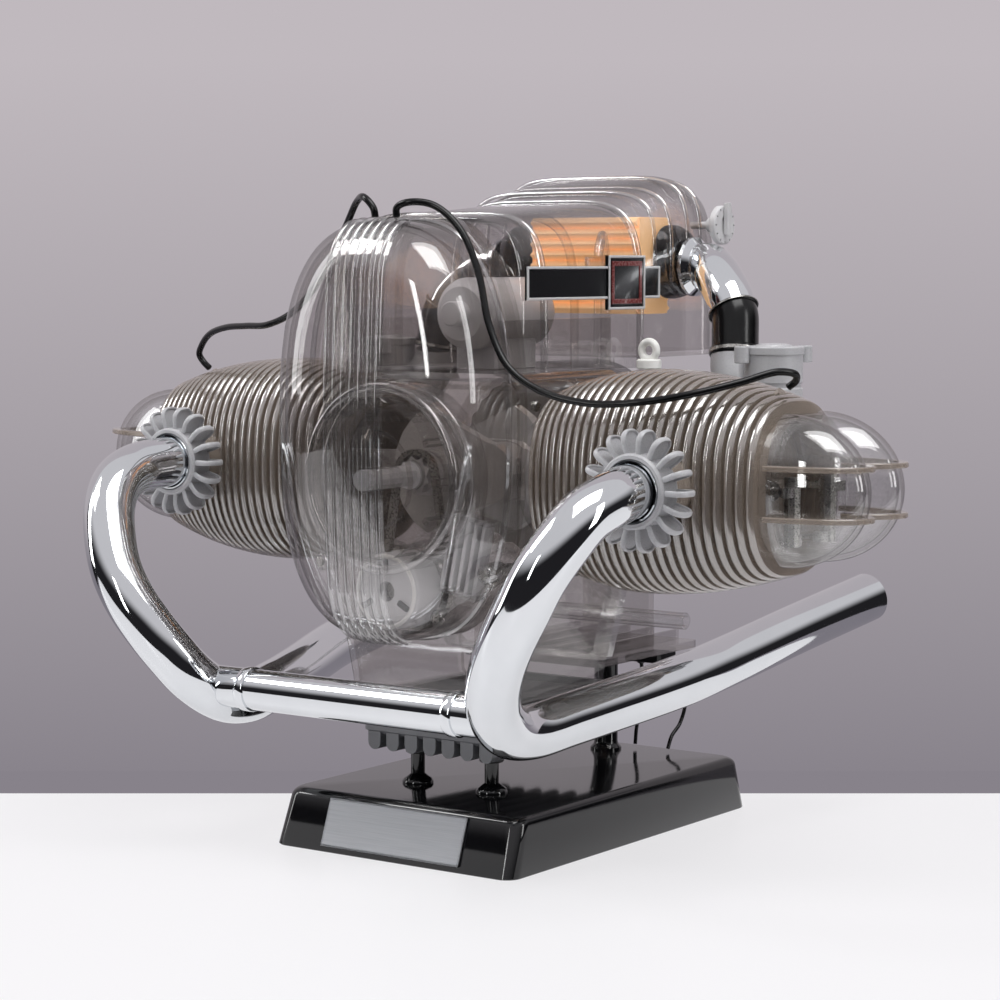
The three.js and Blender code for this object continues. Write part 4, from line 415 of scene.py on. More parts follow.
def pipe(path, radius, count=40, bore=None, radii=None):
    """A tube along a path of points. bore is its inner radius where its ends are open, and radii the outer radius at
    each point where it varies."""
    path = [Vector(p) for p in path]
    aside, _ = frame_for(path[1] - path[0])
    places = []
    for k, middle in enumerate(path):
        ahead = (path[min(k + 1, len(path) - 1)] - path[max(k - 1, 0)]).normalized()
        aside = (aside - ahead * aside.dot(ahead)).normalized()
        places.append((middle, aside.copy(), ahead.cross(aside)))
    sizes = radii or [radius] * len(path)
    rings = [circle(*place, size, count) for place, size in zip(places, sizes)]
    if bore:
        rings += [circle(*place, bore, count) for place in reversed(places)]
    return loft(rings, loop=bool(bore))


# Meshes and pieces


def linked(name, data):
    made = bpy.data.objects.new(name, data)
    bpy.context.scene.collection.objects.link(made)
    return made


def crisp(mesh, angle=SHARP):
    mesh.set_sharp_from_angle(angle=math.radians(angle))
    return mesh


def solid(shape, finish, side=None, smooth=SHARP):
    """One closed body as a mesh, in metres, its doubles merged and its faces outwards."""
    points, faces = shape
    if side:
        points = side.place(points)
    mesh = bpy.data.meshes.new("part")
    mesh.from_pydata([Vector(p) * MM for p in points], [], faces)
    body = bmesh.new()
    body.from_mesh(mesh)
    bmesh.ops.remove_doubles(body, verts=body.verts, dist=1e-6)
    bmesh.ops.recalc_face_normals(body, faces=body.faces)
    body.to_mesh(mesh)
    body.free()
    mesh.materials.append(FINISHES[finish])
    mesh.shade_smooth()
    return crisp(mesh, smooth)


def baked(holder):
    """The evaluated mesh of a working object, which is then removed with the mesh it held."""
    bpy.context.view_layer.update()
    graph = bpy.context.evaluated_depsgraph_get()
    mesh = bpy.data.meshes.new_from_object(holder.evaluated_get(graph))
    holder.modifiers.clear()
    held = holder.data
    bpy.data.objects.remove(holder)
    bpy.data.meshes.remove(held)
    return mesh


def combined(operation, body, others):
    """A body after a Boolean with each of the others. All are meshes, and all are used up."""
    holder = linked("body", body)
    helpers = [linked("other", other) for other in others]
    for helper in helpers:
        step = holder.modifiers.new("step", "BOOLEAN")
        step.operation = operation
        step.solver = "EXACT"
        step.object = helper
    result = baked(holder)
    for helper, other in zip(helpers, others):
        bpy.data.objects.remove(helper)
        bpy.data.meshes.remove(other)
    return crisp(result)


def carved(body, *tools):
    """A body with tools cut out of it."""
    return combined("DIFFERENCE", body, tools)


def joined(*bodies):
    """Bodies joined into one, without the walls between them."""
    return combined("UNION", bodies[0], bodies[1:])


def placed(spot, angle=0.0, axis="X"):
    """A turn round an axis, then a shift in millimetres."""
    return Matrix.Translation(Vector(spot) * MM) @ Matrix.Rotation(angle, 4, axis)


def moved(mesh, matrix):
    mesh.transform(matrix)
    if matrix.determinant() < 0:
        mesh.flip_normals()
    return mesh


def mirrored(mesh, side):
    """The mesh for a side: built for the right, and mirrored for the left."""
    return mesh if side.sign > 0 else moved(mesh, Matrix.Scale(-1, 4, X_AXIS))


def piece(name, meshes, body, slot, *nodes, bevel=0.0):
    """Joins meshes into one piece that rides on a body and stands for CAD nodes."""
    whole = bmesh.new()
    used = []
    for mesh in meshes:
        first = len(whole.faces)
        whole.from_mesh(mesh)
        whole.faces.ensure_lookup_table()
        for face in whole.faces[first:]:
            finish = mesh.materials[face.material_index]
            if finish not in used:
                used.append(finish)
            face.material_index = used.index(finish)
        bpy.data.meshes.remove(mesh)
    mesh = bpy.data.meshes.new(name)
    whole.to_mesh(mesh)
    whole.free()
    for finish in used:
        mesh.materials.append(finish)
    made = linked(name, mesh)
    if bevel:
        edge = made.modifiers.new("edge", "BEVEL")
        edge.width = bevel * MM
        edge.segments = 2
        edge.limit_method = "ANGLE"
        edge.angle_limit = math.radians(50)
        edge.harden_normals = True
    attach(made, body)
    if nodes:
        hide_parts(*nodes)
    return made


# Geometry node trees for what repeats


def start_tree(name, sizes):
    """An empty tree with a geometry input, one named input for each size, and a geometry output."""
    tree = bpy.data.node_groups.new(name, "GeometryNodeTree")
    tree.interface.new_socket("Geometry", in_out="INPUT", socket_type="NodeSocketGeometry")
    for label, kind in sizes.items():
        tree.interface.new_socket(label, in_out="INPUT", socket_type="NodeSocket" + kind)
    tree.interface.new_socket("Geometry", in_out="OUTPUT", socket_type="NodeSocketGeometry")
    return tree, put(tree, "NodeGroupInput").outputs


def copies_on(tree, points, given):
    return put(tree, "GeometryNodeInstanceOnPoints", {"Points": points, "Instance": given["Geometry"]})


def dressed(tree, geometry, feeds):
    return put(tree, "GeometryNodeSetMaterial", {"Geometry": geometry, **feeds})


def finish_tree(tree, instances, given):
    """Ends a tree in Realize Instances and Set Material."""
    real = put(tree, "GeometryNodeRealizeInstances", {"Geometry": instances})
    put(tree, "NodeGroupOutput", {"Geometry": dressed(tree, real, {"Material": given["Material"]})})
    return tree


def row_tree():
    """Copies of the item in a straight row."""
    tree, given = start_tree("row", {"Count": "Int", "Step": "Vector", "Material": "Material"})
    line = put(tree, "GeometryNodeMeshLine", {"Count": given["Count"], "Offset": given["Step"]})
    return finish_tree(tree, copies_on(tree, line, given), given)


def wheel_tree():
    """Copies of the item round the z axis."""
    tree, given = start_tree("wheel", {"Count": "Int", "Material": "Material"})
    copies = copies_on(tree, put(tree, "GeometryNodePoints", {"Count": given["Count"]}), given)
    step = maths(tree, "DIVIDE", 2 * math.pi, given["Count"])
    angle = maths(tree, "MULTIPLY", put(tree, "GeometryNodeInputIndex"), step)
    turn = put(tree, "ShaderNodeCombineXYZ", {"Z": angle})
    feeds = {"Instances": copies, "Rotation": turn, "Pivot Point": (0, 0, 0), "Local Space": False}
    return finish_tree(tree, put(tree, "GeometryNodeRotateInstances", feeds), given)


def fin_tree():
    """A stack of cooling fins. The item is one fin whose rim lies on a unit outline. Each copy's rim swells to the
    fin's own half height, which falls away from a peak by the square of the distance, inwards and outwards."""
    sizes = dict.fromkeys((
        "First", "Pitch", "Peak at", "Peak", "Inner fall", "Inner reach", "Outer fall", "Outer reach", "Depth share",
        "Height",
    ), "Float")
    tree, given = start_tree("fin_stack", {"Count": "Int", **sizes, "Material": "Material", "Edge": "Material"})

    def either(share, first, second):
        return put(tree, "ShaderNodeMix", {"Factor": share, "A": first, "B": second})

    start = put(tree, "ShaderNodeCombineXYZ", {"X": given["First"]})
    step = put(tree, "ShaderNodeCombineXYZ", {"X": given["Pitch"]})
    line = put(tree, "GeometryNodeMeshLine", {"Count": given["Count"], "Start Location": start, "Offset": step})
    real = put(tree, "GeometryNodeRealizeInstances", {"Geometry": copies_on(tree, line, given)})
    where = put(tree, "ShaderNodeSeparateXYZ", {"Vector": put(tree, "GeometryNodeInputPosition")}).outputs
    rim = put(tree, "GeometryNodeInputNamedAttribute", {"Name": "rim"}, data_type="FLOAT")
    offset = maths(tree, "SUBTRACT", where["X"], given["Peak at"])
    inward = maths(tree, "LESS_THAN", offset, 0.0)
    share = maths(tree, "DIVIDE", offset, either(inward, given["Outer reach"], given["Inner reach"]))
    fall = either(inward, given["Outer fall"], given["Inner fall"])
    lost = maths(tree, "MULTIPLY", maths(tree, "MULTIPLY", share, share), fall)
    half = maths(tree, "SUBTRACT", given["Peak"], lost)
    deep = maths(tree, "MULTIPLY", half, given["Depth share"])
    across = maths(tree, "MULTIPLY", where["Y"], either(rim, 1.0, deep))
    up = maths(tree, "MULTIPLY_ADD", where["Z"], either(rim, 1.0, half), given["Height"])
    spot = put(tree, "ShaderNodeCombineXYZ", {"X": where["X"], "Y": across, "Z": up})
    shaped = put(tree, "GeometryNodeSetPosition", {"Geometry": real, "Position": spot})
    walls = dressed(tree, shaped, {"Material": given["Material"]})
    edge = put(tree, "GeometryNodeInputNamedAttribute", {"Name": "edge"}, data_type="BOOLEAN")
    whole = dressed(tree, walls, {"Selection": edge, "Material": given["Edge"]})
    put(tree, "NodeGroupOutput", {"Geometry": whole})
    return tree


MAKERS = {"row": row_tree, "wheel": wheel_tree, "fin_stack": fin_tree}
TREES = {}


def repeated(kind, item, finish, **values):
    """A tree's result as a plain mesh. The item is a mesh, which is used up, and values are the tree's other inputs."""
    if kind not in TREES:
        TREES[kind] = MAKERS[kind]()
    holder = linked("item", item)
    grow = holder.modifiers.new("repeat", "NODES")
    grow.node_group = TREES[kind]
    named = {name.replace("_", " "): value for name, value in values.items()}
    named["Material"] = FINISHES[finish]
    for socket in TREES[kind].interface.items_tree:
        if socket.in_out == "INPUT" and socket.name in named:
            grow[socket.identifier] = named[socket.name]
    return crisp(baked(holder))


# Sizes and colours that a user would change


def length(name, description, millimetres):
    return bpy.props.FloatProperty(name=name, description=description, default=millimetres * MM, unit="LENGTH")


def number(name, description, count):
    return bpy.props.IntProperty(name=name, description=description, default=count)


def colour(name, description, code):
    return bpy.props.FloatVectorProperty(name=name, description=description, default=linear(code), subtype="COLOR")


class EngineSizes(bpy.types.PropertyGroup):
    """Sizes of the repeated and rounded parts."""

    fin_pitch: length("Fin pitch", "Distance from one cooling fin to the next", 3.85)
    fin_thickness: length("Fin thickness", "Thickness of one cooling fin", 2.35)
    barrel_fins: number("Barrel fins", "Cooling fins on one barrel", 14)
    head_fins: number("Head fins", "Cooling fins on one head", 11)
    fin_peak: length("Fin peak", "Half height of the tallest fin", 41.5)
    pipe_radius: length("Exhaust radius", "Outer radius of the exhaust pipes", 10.0)
    pipe_wall: length("Exhaust wall", "Wall of the exhaust pipes at their open ends", 1.4)
    cross_radius: length("Cross pipe radius", "Outer radius of the pipe under the front cover", 7.9)
    petals: number("Petals", "Petals round each exhaust nut", 18)
    cover_ribs: number("Cover ribs", "Upright ribs on the front cover", 7)
    pan_fins: number("Sump ribs", "Rounded ribs under the sump", 7)
    pleats: number("Pleats", "Folds of the air filter", 9)


class EngineColours(bpy.types.PropertyGroup):
    """Colours of the plastics and papers."""

    smoke_through: colour("Smoke", "Smoke plastic seen square on", "#FDFCFC")
    smoke_rim: colour("Smoke rim", "Smoke plastic seen along its wall", "#55504D")
    smoke_body: colour("Smoke body", "Light that the smoke plastic scatters", "#9A9590")
    web_through: colour("Inner wall", "Inner smoke walls seen square on", "#FBFAF9")
    fin_through: colour("Fin", "Fin plastic seen square on", "#F4F1ED")
    fin_rim: colour("Fin rim", "Fin plastic seen along its wall", "#C2B6AA")
    fin_body: colour("Fin body", "Light that the fins scatter", "#A69A8F")
    fin_line: colour("Fin line", "Light that the rims of the fins scatter", "#B7ABA0")
    clear_through: colour("Clear", "Clear plastic seen square on", "#FEFEFE")
    clear_rim: colour("Clear rim", "Clear plastic seen along its wall", "#8E8A87")
    clear_body: colour("Clear body", "Light that the clear plastic scatters", "#B5B3B0")
    grey: colour("Grey", "Silver grey plastic of nuts and carburettors", "#BCBCBE")
    label: colour("Label", "Brushed label on the stand", "#BFC1C4")
    paper: colour("Filter paper", "Pleated paper of the air filter", "#FFE0B6")
    wall: colour("Wall", "Studio wall behind the model, at its top", "#C0B9BE")
    # The wall's foot is darker than its top by painted shade
    wall_foot: colour("Wall foot", "Studio wall behind the table", "#87828A")
    table: colour("Table", "Table top under the model", "#F4F3F5")


# Camera and cords

# The camera looks along AHEAD, which lies TURN from the y axis, and PITCH degrees down
TURN, PITCH = math.radians(35.5), 5.04
AHEAD = Vector((-math.sin(TURN), math.cos(TURN), 0))
ASIDE = Vector((math.cos(TURN), math.sin(TURN), 0))


class ENGINE_OT_camera(bpy.types.Operator):
    """Sets the camera at the photograph's viewing angle"""

    bl_idname = "engine.camera"
    bl_label = "Camera"

    def execute(self, context):
        lens = bpy.data.cameras.new("camera")
        lens.sensor_width = 36.0
        lens.lens = 97.2
        lens.clip_end = 20.0
        eye = linked("camera", lens)
        eye.location = (0.623, -0.8861, 0.228)
        eye.rotation_euler = (math.radians(90 - PITCH), 0, TURN)
        context.scene.camera = eye
        return {"FINISHED"}


RIGHT_LEAD = [
    (5, -86, 244.6), (5.5, -86.5, 248), (10, -86, 250), (19, -82, 249), (30, -80, 240), (39, -81, 224),
    (46, -84, 205), (56, -86, 190), (70, -85, 181.5), (88, -81, 177.5), (108, -76, 178.5), (124, -69, 181.5),
    (137, -58, 185.5), (145.5, -47, 189), (149, -40, 188), (147.5, -37, 185.5), (144.5, -37, 183.2),
]
LEFT_LEAD = [
    (-5, -86, 244.6), (-5.5, -86.5, 248), (-10, -86, 252), (-20, -78, 251), (-34, -68, 241), (-50, -62, 223),
    (-66, -60, 209), (-84, -55, 203), (-102, -48, 202), (-119, -41, 201), (-134, -34, 198), (-144, -28, 193),
    (-149, -24, 188.5), (-147.5, -23, 185.5), (-144.5, -23, 183.2),
]
SUPPLY_WIRES = [
    [(22, 76, 61), (24, 82, 52), (27, 85, 42), (26.5, 82, 33), (26, 76, 28), (26, 73, 23.2)],
    [(13, 72, 61), (12, 75, 50), (10, 77, 40), (9, 75, 30), (9, 74, 23.2)],
]
LEAD_RADIUS = 1.35
WIRE_RADIUS = 0.8


def laid_cord(name, route, radius, steps, node):
    """A cord along a route."""
    path = smooth_route(route, steps)
    made = piece(name, [solid(pipe(path, radius, 20), "rubber")], "engine", "rubber", node)


class ENGINE_OT_cords(bpy.types.Operator):
    """Lays the two ignition leads and the supply wires with their plug"""

    bl_idname = "engine.cords"
    bl_label = "Leads and wires"

    def execute(self, context):
        finishes(context.scene.engine_colours)
        laid_cord("lead_right", RIGHT_LEAD, LEAD_RADIUS, 150, "ignition_lead_right")
        laid_cord("lead_left", LEFT_LEAD, LEAD_RADIUS, 150, "ignition_lead_left")
        laid_cord("supply_wire_a", SUPPLY_WIRES[0], WIRE_RADIUS, 60, "supply_cable")
        laid_cord("supply_wire_b", SUPPLY_WIRES[1], WIRE_RADIUS, 50, "supply_cable")
        plug = solid(block((8, 66, 60), (26, 80, 65.7), 1.2), "black")
        collars = [solid(rod(1.6, (x, y, 58.6), (x, y, 60.2), 20, 0.3), "black") for x, y in ((22, 76), (13, 72))]
        piece("supply_plug", [plug, *collars], "engine", "black", "supply_cable", bevel=0.3)
        return {"FINISHED"}


# Stand

STAND_TOP, STAND_CORNER = 22.0, 6.0
# Half the width and half the length of the stand at its foot
STAND_HALF_WIDTH, STAND_HALF_LENGTH = 57.5, 86.25
# How far the stand's walls lean in over its height
SIDE_LEAN, FRONT_LEAN, REAR_LEAN = 1.5, 8.0, 5.0
# The front posts, on which the sump's feet stand
FRONT_POST_X, FRONT_POST_Y = 18.0, -43.5


def stand_ring(height, inset):
    """The stand's outline at a height. Its walls lean in, more at the front than at the rear and sides."""
    rise = min(height / STAND_TOP, 1.0)
    half = STAND_HALF_WIDTH - SIDE_LEAN * rise - inset
    front, rear = -STAND_HALF_LENGTH + FRONT_LEAN * rise + inset, STAND_HALF_LENGTH - REAR_LEAN * rise - inset
    return level(rounded(half, front, rear, STAND_CORNER, 10), height)


class ENGINE_OT_stand(bpy.types.Operator):
    """Makes the gloss black stand with its posts, and the bare metal label on its front slope"""

    bl_idname = "engine.stand"
    bl_label = "Stand"

    def execute(self, context):
        edge, skin = 3.0, 2.5
        rings = [stand_ring(0, 0.4), stand_ring(0.4, 0), stand_ring(STAND_TOP - edge, 0)]
        for k in range(1, 7):
            arc = k / 6 * math.pi / 2
            rings.append(stand_ring(STAND_TOP - edge + edge * math.sin(arc), edge * (1 - math.cos(arc))))
        inner = [stand_ring(STAND_TOP - skin, skin), stand_ring(0, skin)]
        # The top and the ceiling of the hollow close at poles
        ceiling, top = ([(0.0, -1.5, z)] * len(rings[0]) for z in (STAND_TOP - skin, STAND_TOP))
        parts = [solid(loft([ceiling, *inner, *rings, top]), "black", smooth=60)]
        foot = [(0, 0), (6.2, 0), (6.2, 1.0), (5.6, 2.2), (4.4, 3.0), (2.8, 4.2), (2.8, 14.6), (0, 14.6)]
        washer = [(0, 0), (4.4, 0), (4.8, 0.4), (4.8, 1.6), (4.4, 2.0), (0, 2.0)]
        for x in (-FRONT_POST_X, FRONT_POST_X):
            parts.append(solid(turned(foot, (x, FRONT_POST_Y, 21.9), Z_AXIS, 32), "black"))
            parts.append(solid(turned(washer, (x, FRONT_POST_Y, 34.4), Z_AXIS, 32), "rubber"))
        rear = [(0, 0), (6.6, 0), (6.6, 0.8), (5.4, 2.0), (5.0, 3.2), (5.0, 42.9), (4.6, 43.3), (0, 43.3)]
        parts.append(solid(turned(rear, (0, 65, 21.9), Z_AXIS, 40), "black"))
        for x in (-45.0, 45.0):
            for y in (-68.0, 68.0):
                parts.append(solid(rod(3.0, (x, y, 2.4), (x, y, 20.7), 24), "black"))
        piece("stand_moulding", parts, "engine", "black", "base_cover")
        self.label()
        return {"FINISHED"}

    def label(self):
        """A bare plate with a raised rim, flat on the front wall."""
        wide, tall, back, face, rim, half_rim = 33, 9.5, -0.4, 0.35, 0.4, 0.35
        # The plate stands out by 0.7 mm from the middle of the front wall
        lean, out = math.atan2(FRONT_LEAN, STAND_TOP), 0.7
        y, z = -STAND_HALF_LENGTH + FRONT_LEAN / 2 - out * math.cos(lean), STAND_TOP / 2 + out * math.sin(lean)
        place = placed((0, y, z), -lean)
        plate = block((-wide, back, -tall), (wide, face, tall), 0.3)
        rims = []
        for sign in (-1, 1):
            x, z = sign * (wide - half_rim), sign * (tall - half_rim)
            rims.append(block((-wide, back, z - half_rim), (wide, rim, z + half_rim), 0.1))
            rims.append(block((x - half_rim, back, -tall), (x + half_rim, rim, tall), 0.1))
        parts = [moved(solid(shape, "label"), place) for shape in (plate, *rims)]
        piece("label_plate", parts, "engine", "label", "name_plate")


# Sump, crankcase and rear housing

CASE_FOOT = 58.3


class ENGINE_OT_sump(bpy.types.Operator):
    """Makes the sump with its rounded ribs"""

    bl_idname = "engine.sump"
    bl_label = "Sump"

    def execute(self, context):
        half, front, rear, foot, top = 33, -60, 28, 43.0, 58
        edge, skin = 1.5, 2.5
        cut, outer, inner = (
            rounded(half - inset, front + inset, rear - inset, corner)
            for inset, corner in ((edge, 3), (0, 3), (skin, 2))
        )
        stations = ((cut, foot), (outer, foot + edge), (outer, top), (inner, top), (inner, foot + skin))
        pan = solid(loft([level(outline, z) for outline, z in stations]), "dark_grey")
        radius, rise, pitch = 3.0, 4.2, 9.0
        profile = [(radius, rise), (-radius, rise)]
        profile += [(radius * math.cos(a), radius * math.sin(a)) for a in (math.pi * (1 + k / 10) for k in range(11))]
        bar = solid(extruded([(u, v + 40) for u, v in profile], "y", front, rear), "dark_grey")
        count = context.scene.engine_sizes.pan_fins
        first = placed((-(count - 1) / 2 * pitch, 0, 0))
        bars = repeated("row", moved(bar, first), "dark_grey", Count=count, Step=(pitch * MM, 0, 0))
        feet = [
            solid(rod(4.4, (x, FRONT_POST_Y, 37), (x, FRONT_POST_Y, 43.5), 32, 0.3), "dark_grey")
            for x in (-FRONT_POST_X, FRONT_POST_X)
        ]
        piece("sump", [pan, bars, *feet], "engine", "dark_grey", "oil_pan")
        return {"FINISHED"}


def case_outline(inset):
    """The crankcase's outline seen from the front, drawn in at its top and sides."""
    half = [
        (36 - inset, CASE_FOOT), (36 - inset, 64 + inset), (46 - inset, 110 + inset / 2),
        (46 - inset, 180 - inset / 2), (40, 186 - inset),
    ]
    return softened([*half, *[(-x, z) for x, z in reversed(half)]], 4.0)


def shaft_bores(crank_radius, cam_radius, start, end, finish):
    """Tools that cut the holes for the crankshaft and the camshaft."""
    return [
        solid(rod(radius, (0, start, height), (0, end, height), count), finish)
        for radius, height, count in ((crank_radius, CRANK_HEIGHT, 40), (cam_radius, CAM_HEIGHT, 32))
    ]


class ENGINE_OT_case(bpy.types.Operator):
    """Makes the crankcase with its cylinder decks and the dipstick's boss"""

    bl_idname = "engine.case"
    bl_label = "Crankcase"

    def execute(self, context):
        stations = ((-60, 3.0), (-62, 3.0), (-62, 0.8), (-61.2, 0), (8, 0), (8, 3.0))
        shell = solid(loft([upright(case_outline(inset), y) for y, inset in stations], loop=True), "web")
        walls = [solid(extruded(case_outline(3.2), "y", y0, y1), "web") for y0, y1 in ((-61.9, -60.1), (5.6, 7.9))]
        walls = [carved(wall, *shaft_bores(8.6, 4.2, -70, 20, "web")) for wall in walls]
        deck = [(22.9, 42.5), (24.6, 42.5), (24.6, 49.2), (24.0, 50.0), (22.9, 50.0)]
        decks, bores, bolts = [], [], []
        for side in SIDES:
            axis = (side.axis, CRANK_HEIGHT)
            decks.append(solid(turned(deck, (0, *axis), X_AXIS, 72, loop=True), "smoke", side))
            bores.append(solid(rod(24.2, (40, *axis), (60, *axis), 72), "smoke", side))
            # Bolt heads along both edges of the case, as the moulding has them
            head = [(0, 0), (2.2, 0), (2.2, 1.3), (1.7, 1.8), (0, 1.8)]
            bolt = moved(solid(turned(head, (0, 0, 0), X_AXIS, 12), "steel"), placed((45.9, -55, 120)))
            bolts.append(mirrored(repeated("row", bolt, "steel", Count=2, Step=(0, 0, 54 * MM)), side))
        shell = carved(shell, *bores)
        outer = [(-40, 70), (40, 70), (50, 110), (46, 118), (46, 178), (-46, 178), (-46, 118), (-50, 110)]
        inner = [(-33, 72), (33, 72), (43, 111), (43, 119), (43, 176), (-43, 176), (-43, 119), (-43, 111)]
        outer, inner = softened(outer, 3.0), softened(inner, 3.0)
        rings = [upright(outline, y) for outline, y in ((outer, 4), (outer, 8), (inner, 8), (inner, 4))]
        flange = solid(loft(rings, loop=True), "edge")
        bushing = [(1.9, 0), (4.0, 0), (4.6, 1.0), (4.6, 29.4), (4.0, 30), (1.9, 30)]
        boss = solid(turned(bushing, (*DIPSTICK, 156), Z_AXIS, 40, loop=True), "smoke")
        arm = solid(block((44, 4.2, 156), (52, 10, 180), 0.5), "smoke")
        parts = [shell, *walls, *decks, flange, boss, arm, *bolts]
        piece("case_moulding", parts, "engine", "smoke", "crankcase")
        return {"FINISHED"}


class ENGINE_OT_housing(bpy.types.Operator):
    """Makes the rear housing, its ribbed tray and the cross tube"""

    bl_idname = "engine.housing"
    bl_label = "Rear housing"

    def execute(self, context):
        front, rear, floor = 8.3, 58.0, 68.5
        outline = [
            (38.5, front), (40.6, front), (41, front + 0.4), (41, rear - 4), (40, rear - 1.2), (37, rear),
            (17.6, rear), (17, rear - 0.5), (17, rear - 2.5), (37.2, rear - 2.5), (38.5, rear - 4.5),
        ]
        bell = solid(turned(outline, (0, 0, CRANK_HEIGHT), Y_AXIS, 96, loop=True), "web")
        tray = solid(loft([level(rounded(34, front, 84, 3), z) for z in (66, 69)]), "web")
        webs = [solid(block((x - 1.2, front, floor), (x + 1.2, rear, 120), 0.2), "web") for x in (-27.0, 27.0)]
        rib = solid(block((-25.0, front + 1, floor), (-23.6, 83, 73), 0.2), "smoke")
        ribs = repeated("row", rib, "smoke", Count=5, Step=(12.15 * MM, 0, 0))
        sleeve = [(2.2, 0), (3.1, 0), (3.4, 0.3), (3.4, 131.7), (3.1, 132), (2.2, 132)]
        tube = solid(turned(sleeve, (-66, 22, 86), X_AXIS, 36, loop=True), "clear")
        piece("rear_moulding", [bell, tray, *webs, ribs, tube], "engine", "smoke", "rear_housing")
        return {"FINISHED"}


# Timing chest and front cover

CHEST_FACE, CHEST_MIDDLE = -71.7, 165.5
# The front cover: the height of its middle, the y of its face and its rim, and its outline
COVER_MIDDLE, COVER_FACE, COVER_RIM = 164.5, -105.0, -72
COVER_HALF_WIDTH, COVER_HALF_HEIGHT, COVER_SQUARENESS = 47, 79, 2.6
# How far the cover's bend reaches towards the rear, and in from the outline
COVER_DEEP, COVER_WIDE = 17.0, 24.0
# How far the middle of the cover's face stands ahead of the bend
COVER_CROWN = 2.0


def cover_ring(y, z, half_width, half_height):
    """A ring in the tall oval of the front cover and the chest."""
    return upright([(a, z + b) for a, b in oval(half_width, half_height, COVER_SQUARENESS, 96)], y)


def front_ring(y, swell, share=1.0, least=0.0):
    """The cover's outline at a depth, swollen on all sides and drawn to a share. least keeps a pole from closing."""
    half_width, half_height = (COVER_HALF_WIDTH + swell) * share, (COVER_HALF_HEIGHT + swell) * share + least
    return cover_ring(y, COVER_MIDDLE, half_width, half_height)


def dome_rings(swell):
    """Rings of the front cover from its rim, round the bend, to the middle of its face."""
    steps = 12
    rings = [front_ring(COVER_RIM, swell)]
    for k in range(steps + 1):
        arc = k / steps * math.pi / 2
        draw = (COVER_WIDE + swell / 2) * (1 - math.cos(arc))
        rings.append(front_ring(COVER_FACE + COVER_DEEP - (COVER_DEEP + swell) * math.sin(arc), swell - draw))
    for share in (0.8, 0.6, 0.4, 0.2, 0.0):
        crown = COVER_CROWN * (1 - share**2)
        rings.append(front_ring(COVER_FACE - swell - crown, swell / 2 - COVER_WIDE, share, 0.001))
    return rings


def cover_rib(x):
    """One round upright rib that follows the front cover over its top and foot."""
    thick, rise, half_width = 1.1, 1.5, 1.25
    # The cover's outline falls away beside its middle
    across = (abs(x) / COVER_HALF_WIDTH) ** COVER_SQUARENESS
    tall = COVER_HALF_HEIGHT * (1 - across) ** (1 / COVER_SQUARENESS)
    bend = []
    for k in range(13):
        arc = k / 12 * math.pi / 2
        way = Vector((-math.sin(arc) / COVER_DEEP, math.cos(arc) / COVER_WIDE)).normalized()
        spot = Vector((COVER_FACE + COVER_DEEP * (1 - math.sin(arc)), tall - COVER_WIDE * (1 - math.cos(arc))))
        bend.append((spot, way))
    flat = tall - COVER_WIDE
    face = [
        (Vector((COVER_FACE - COVER_CROWN * (1 - share**2), flat * share)), Vector((-1.0, 0.0)))
        for share in (0.75, 0.5, 0.25, 0.0, -0.25, -0.5, -0.75)
    ]
    foot = [(Vector((spot.x, -spot.y)), Vector((way.x, -way.y))) for spot, way in reversed(bend)]
    profile = [(-half_width, -thick), (half_width, -thick)]
    profile += [(half_width * math.cos(a), rise * math.sin(a)) for a in (math.pi * k / 8 for k in range(9))]
    rings = []
    for spot, way in [*bend, *face, *foot]:
        rings.append([(x + u, spot.x + way.x * v, COVER_MIDDLE + spot.y + way.y * v) for u, v in profile])
    return loft(rings)


class ENGINE_OT_front(bpy.types.Operator):
    """Makes the front cover with its upright ribs"""

    bl_idname = "engine.front"
    bl_label = "Front cover"

    def execute(self, context):
        pitch = 4.0
        parts = [solid(loft([*reversed(dome_rings(0)), *dome_rings(-2.0)]), "smoke", smooth=60)]
        count = context.scene.engine_sizes.cover_ribs
        for k in range(count):
            parts.append(solid(cover_rib((k - (count - 1) / 2) * pitch), "edge", smooth=70))
        # Bead round the rim, where the cover meets the chest
        bead = ((0, 0), (0, 0.9), (-0.8, 1.2), (-2, 1.2), (-2.8, 0.4), (-2.8, 0))
        parts.append(solid(loft([front_ring(COVER_RIM + y, swell) for y, swell in bead], loop=True), "edge"))
        piece("front_dome", parts, "engine", "smoke", "front_cover")
        return {"FINISHED"}


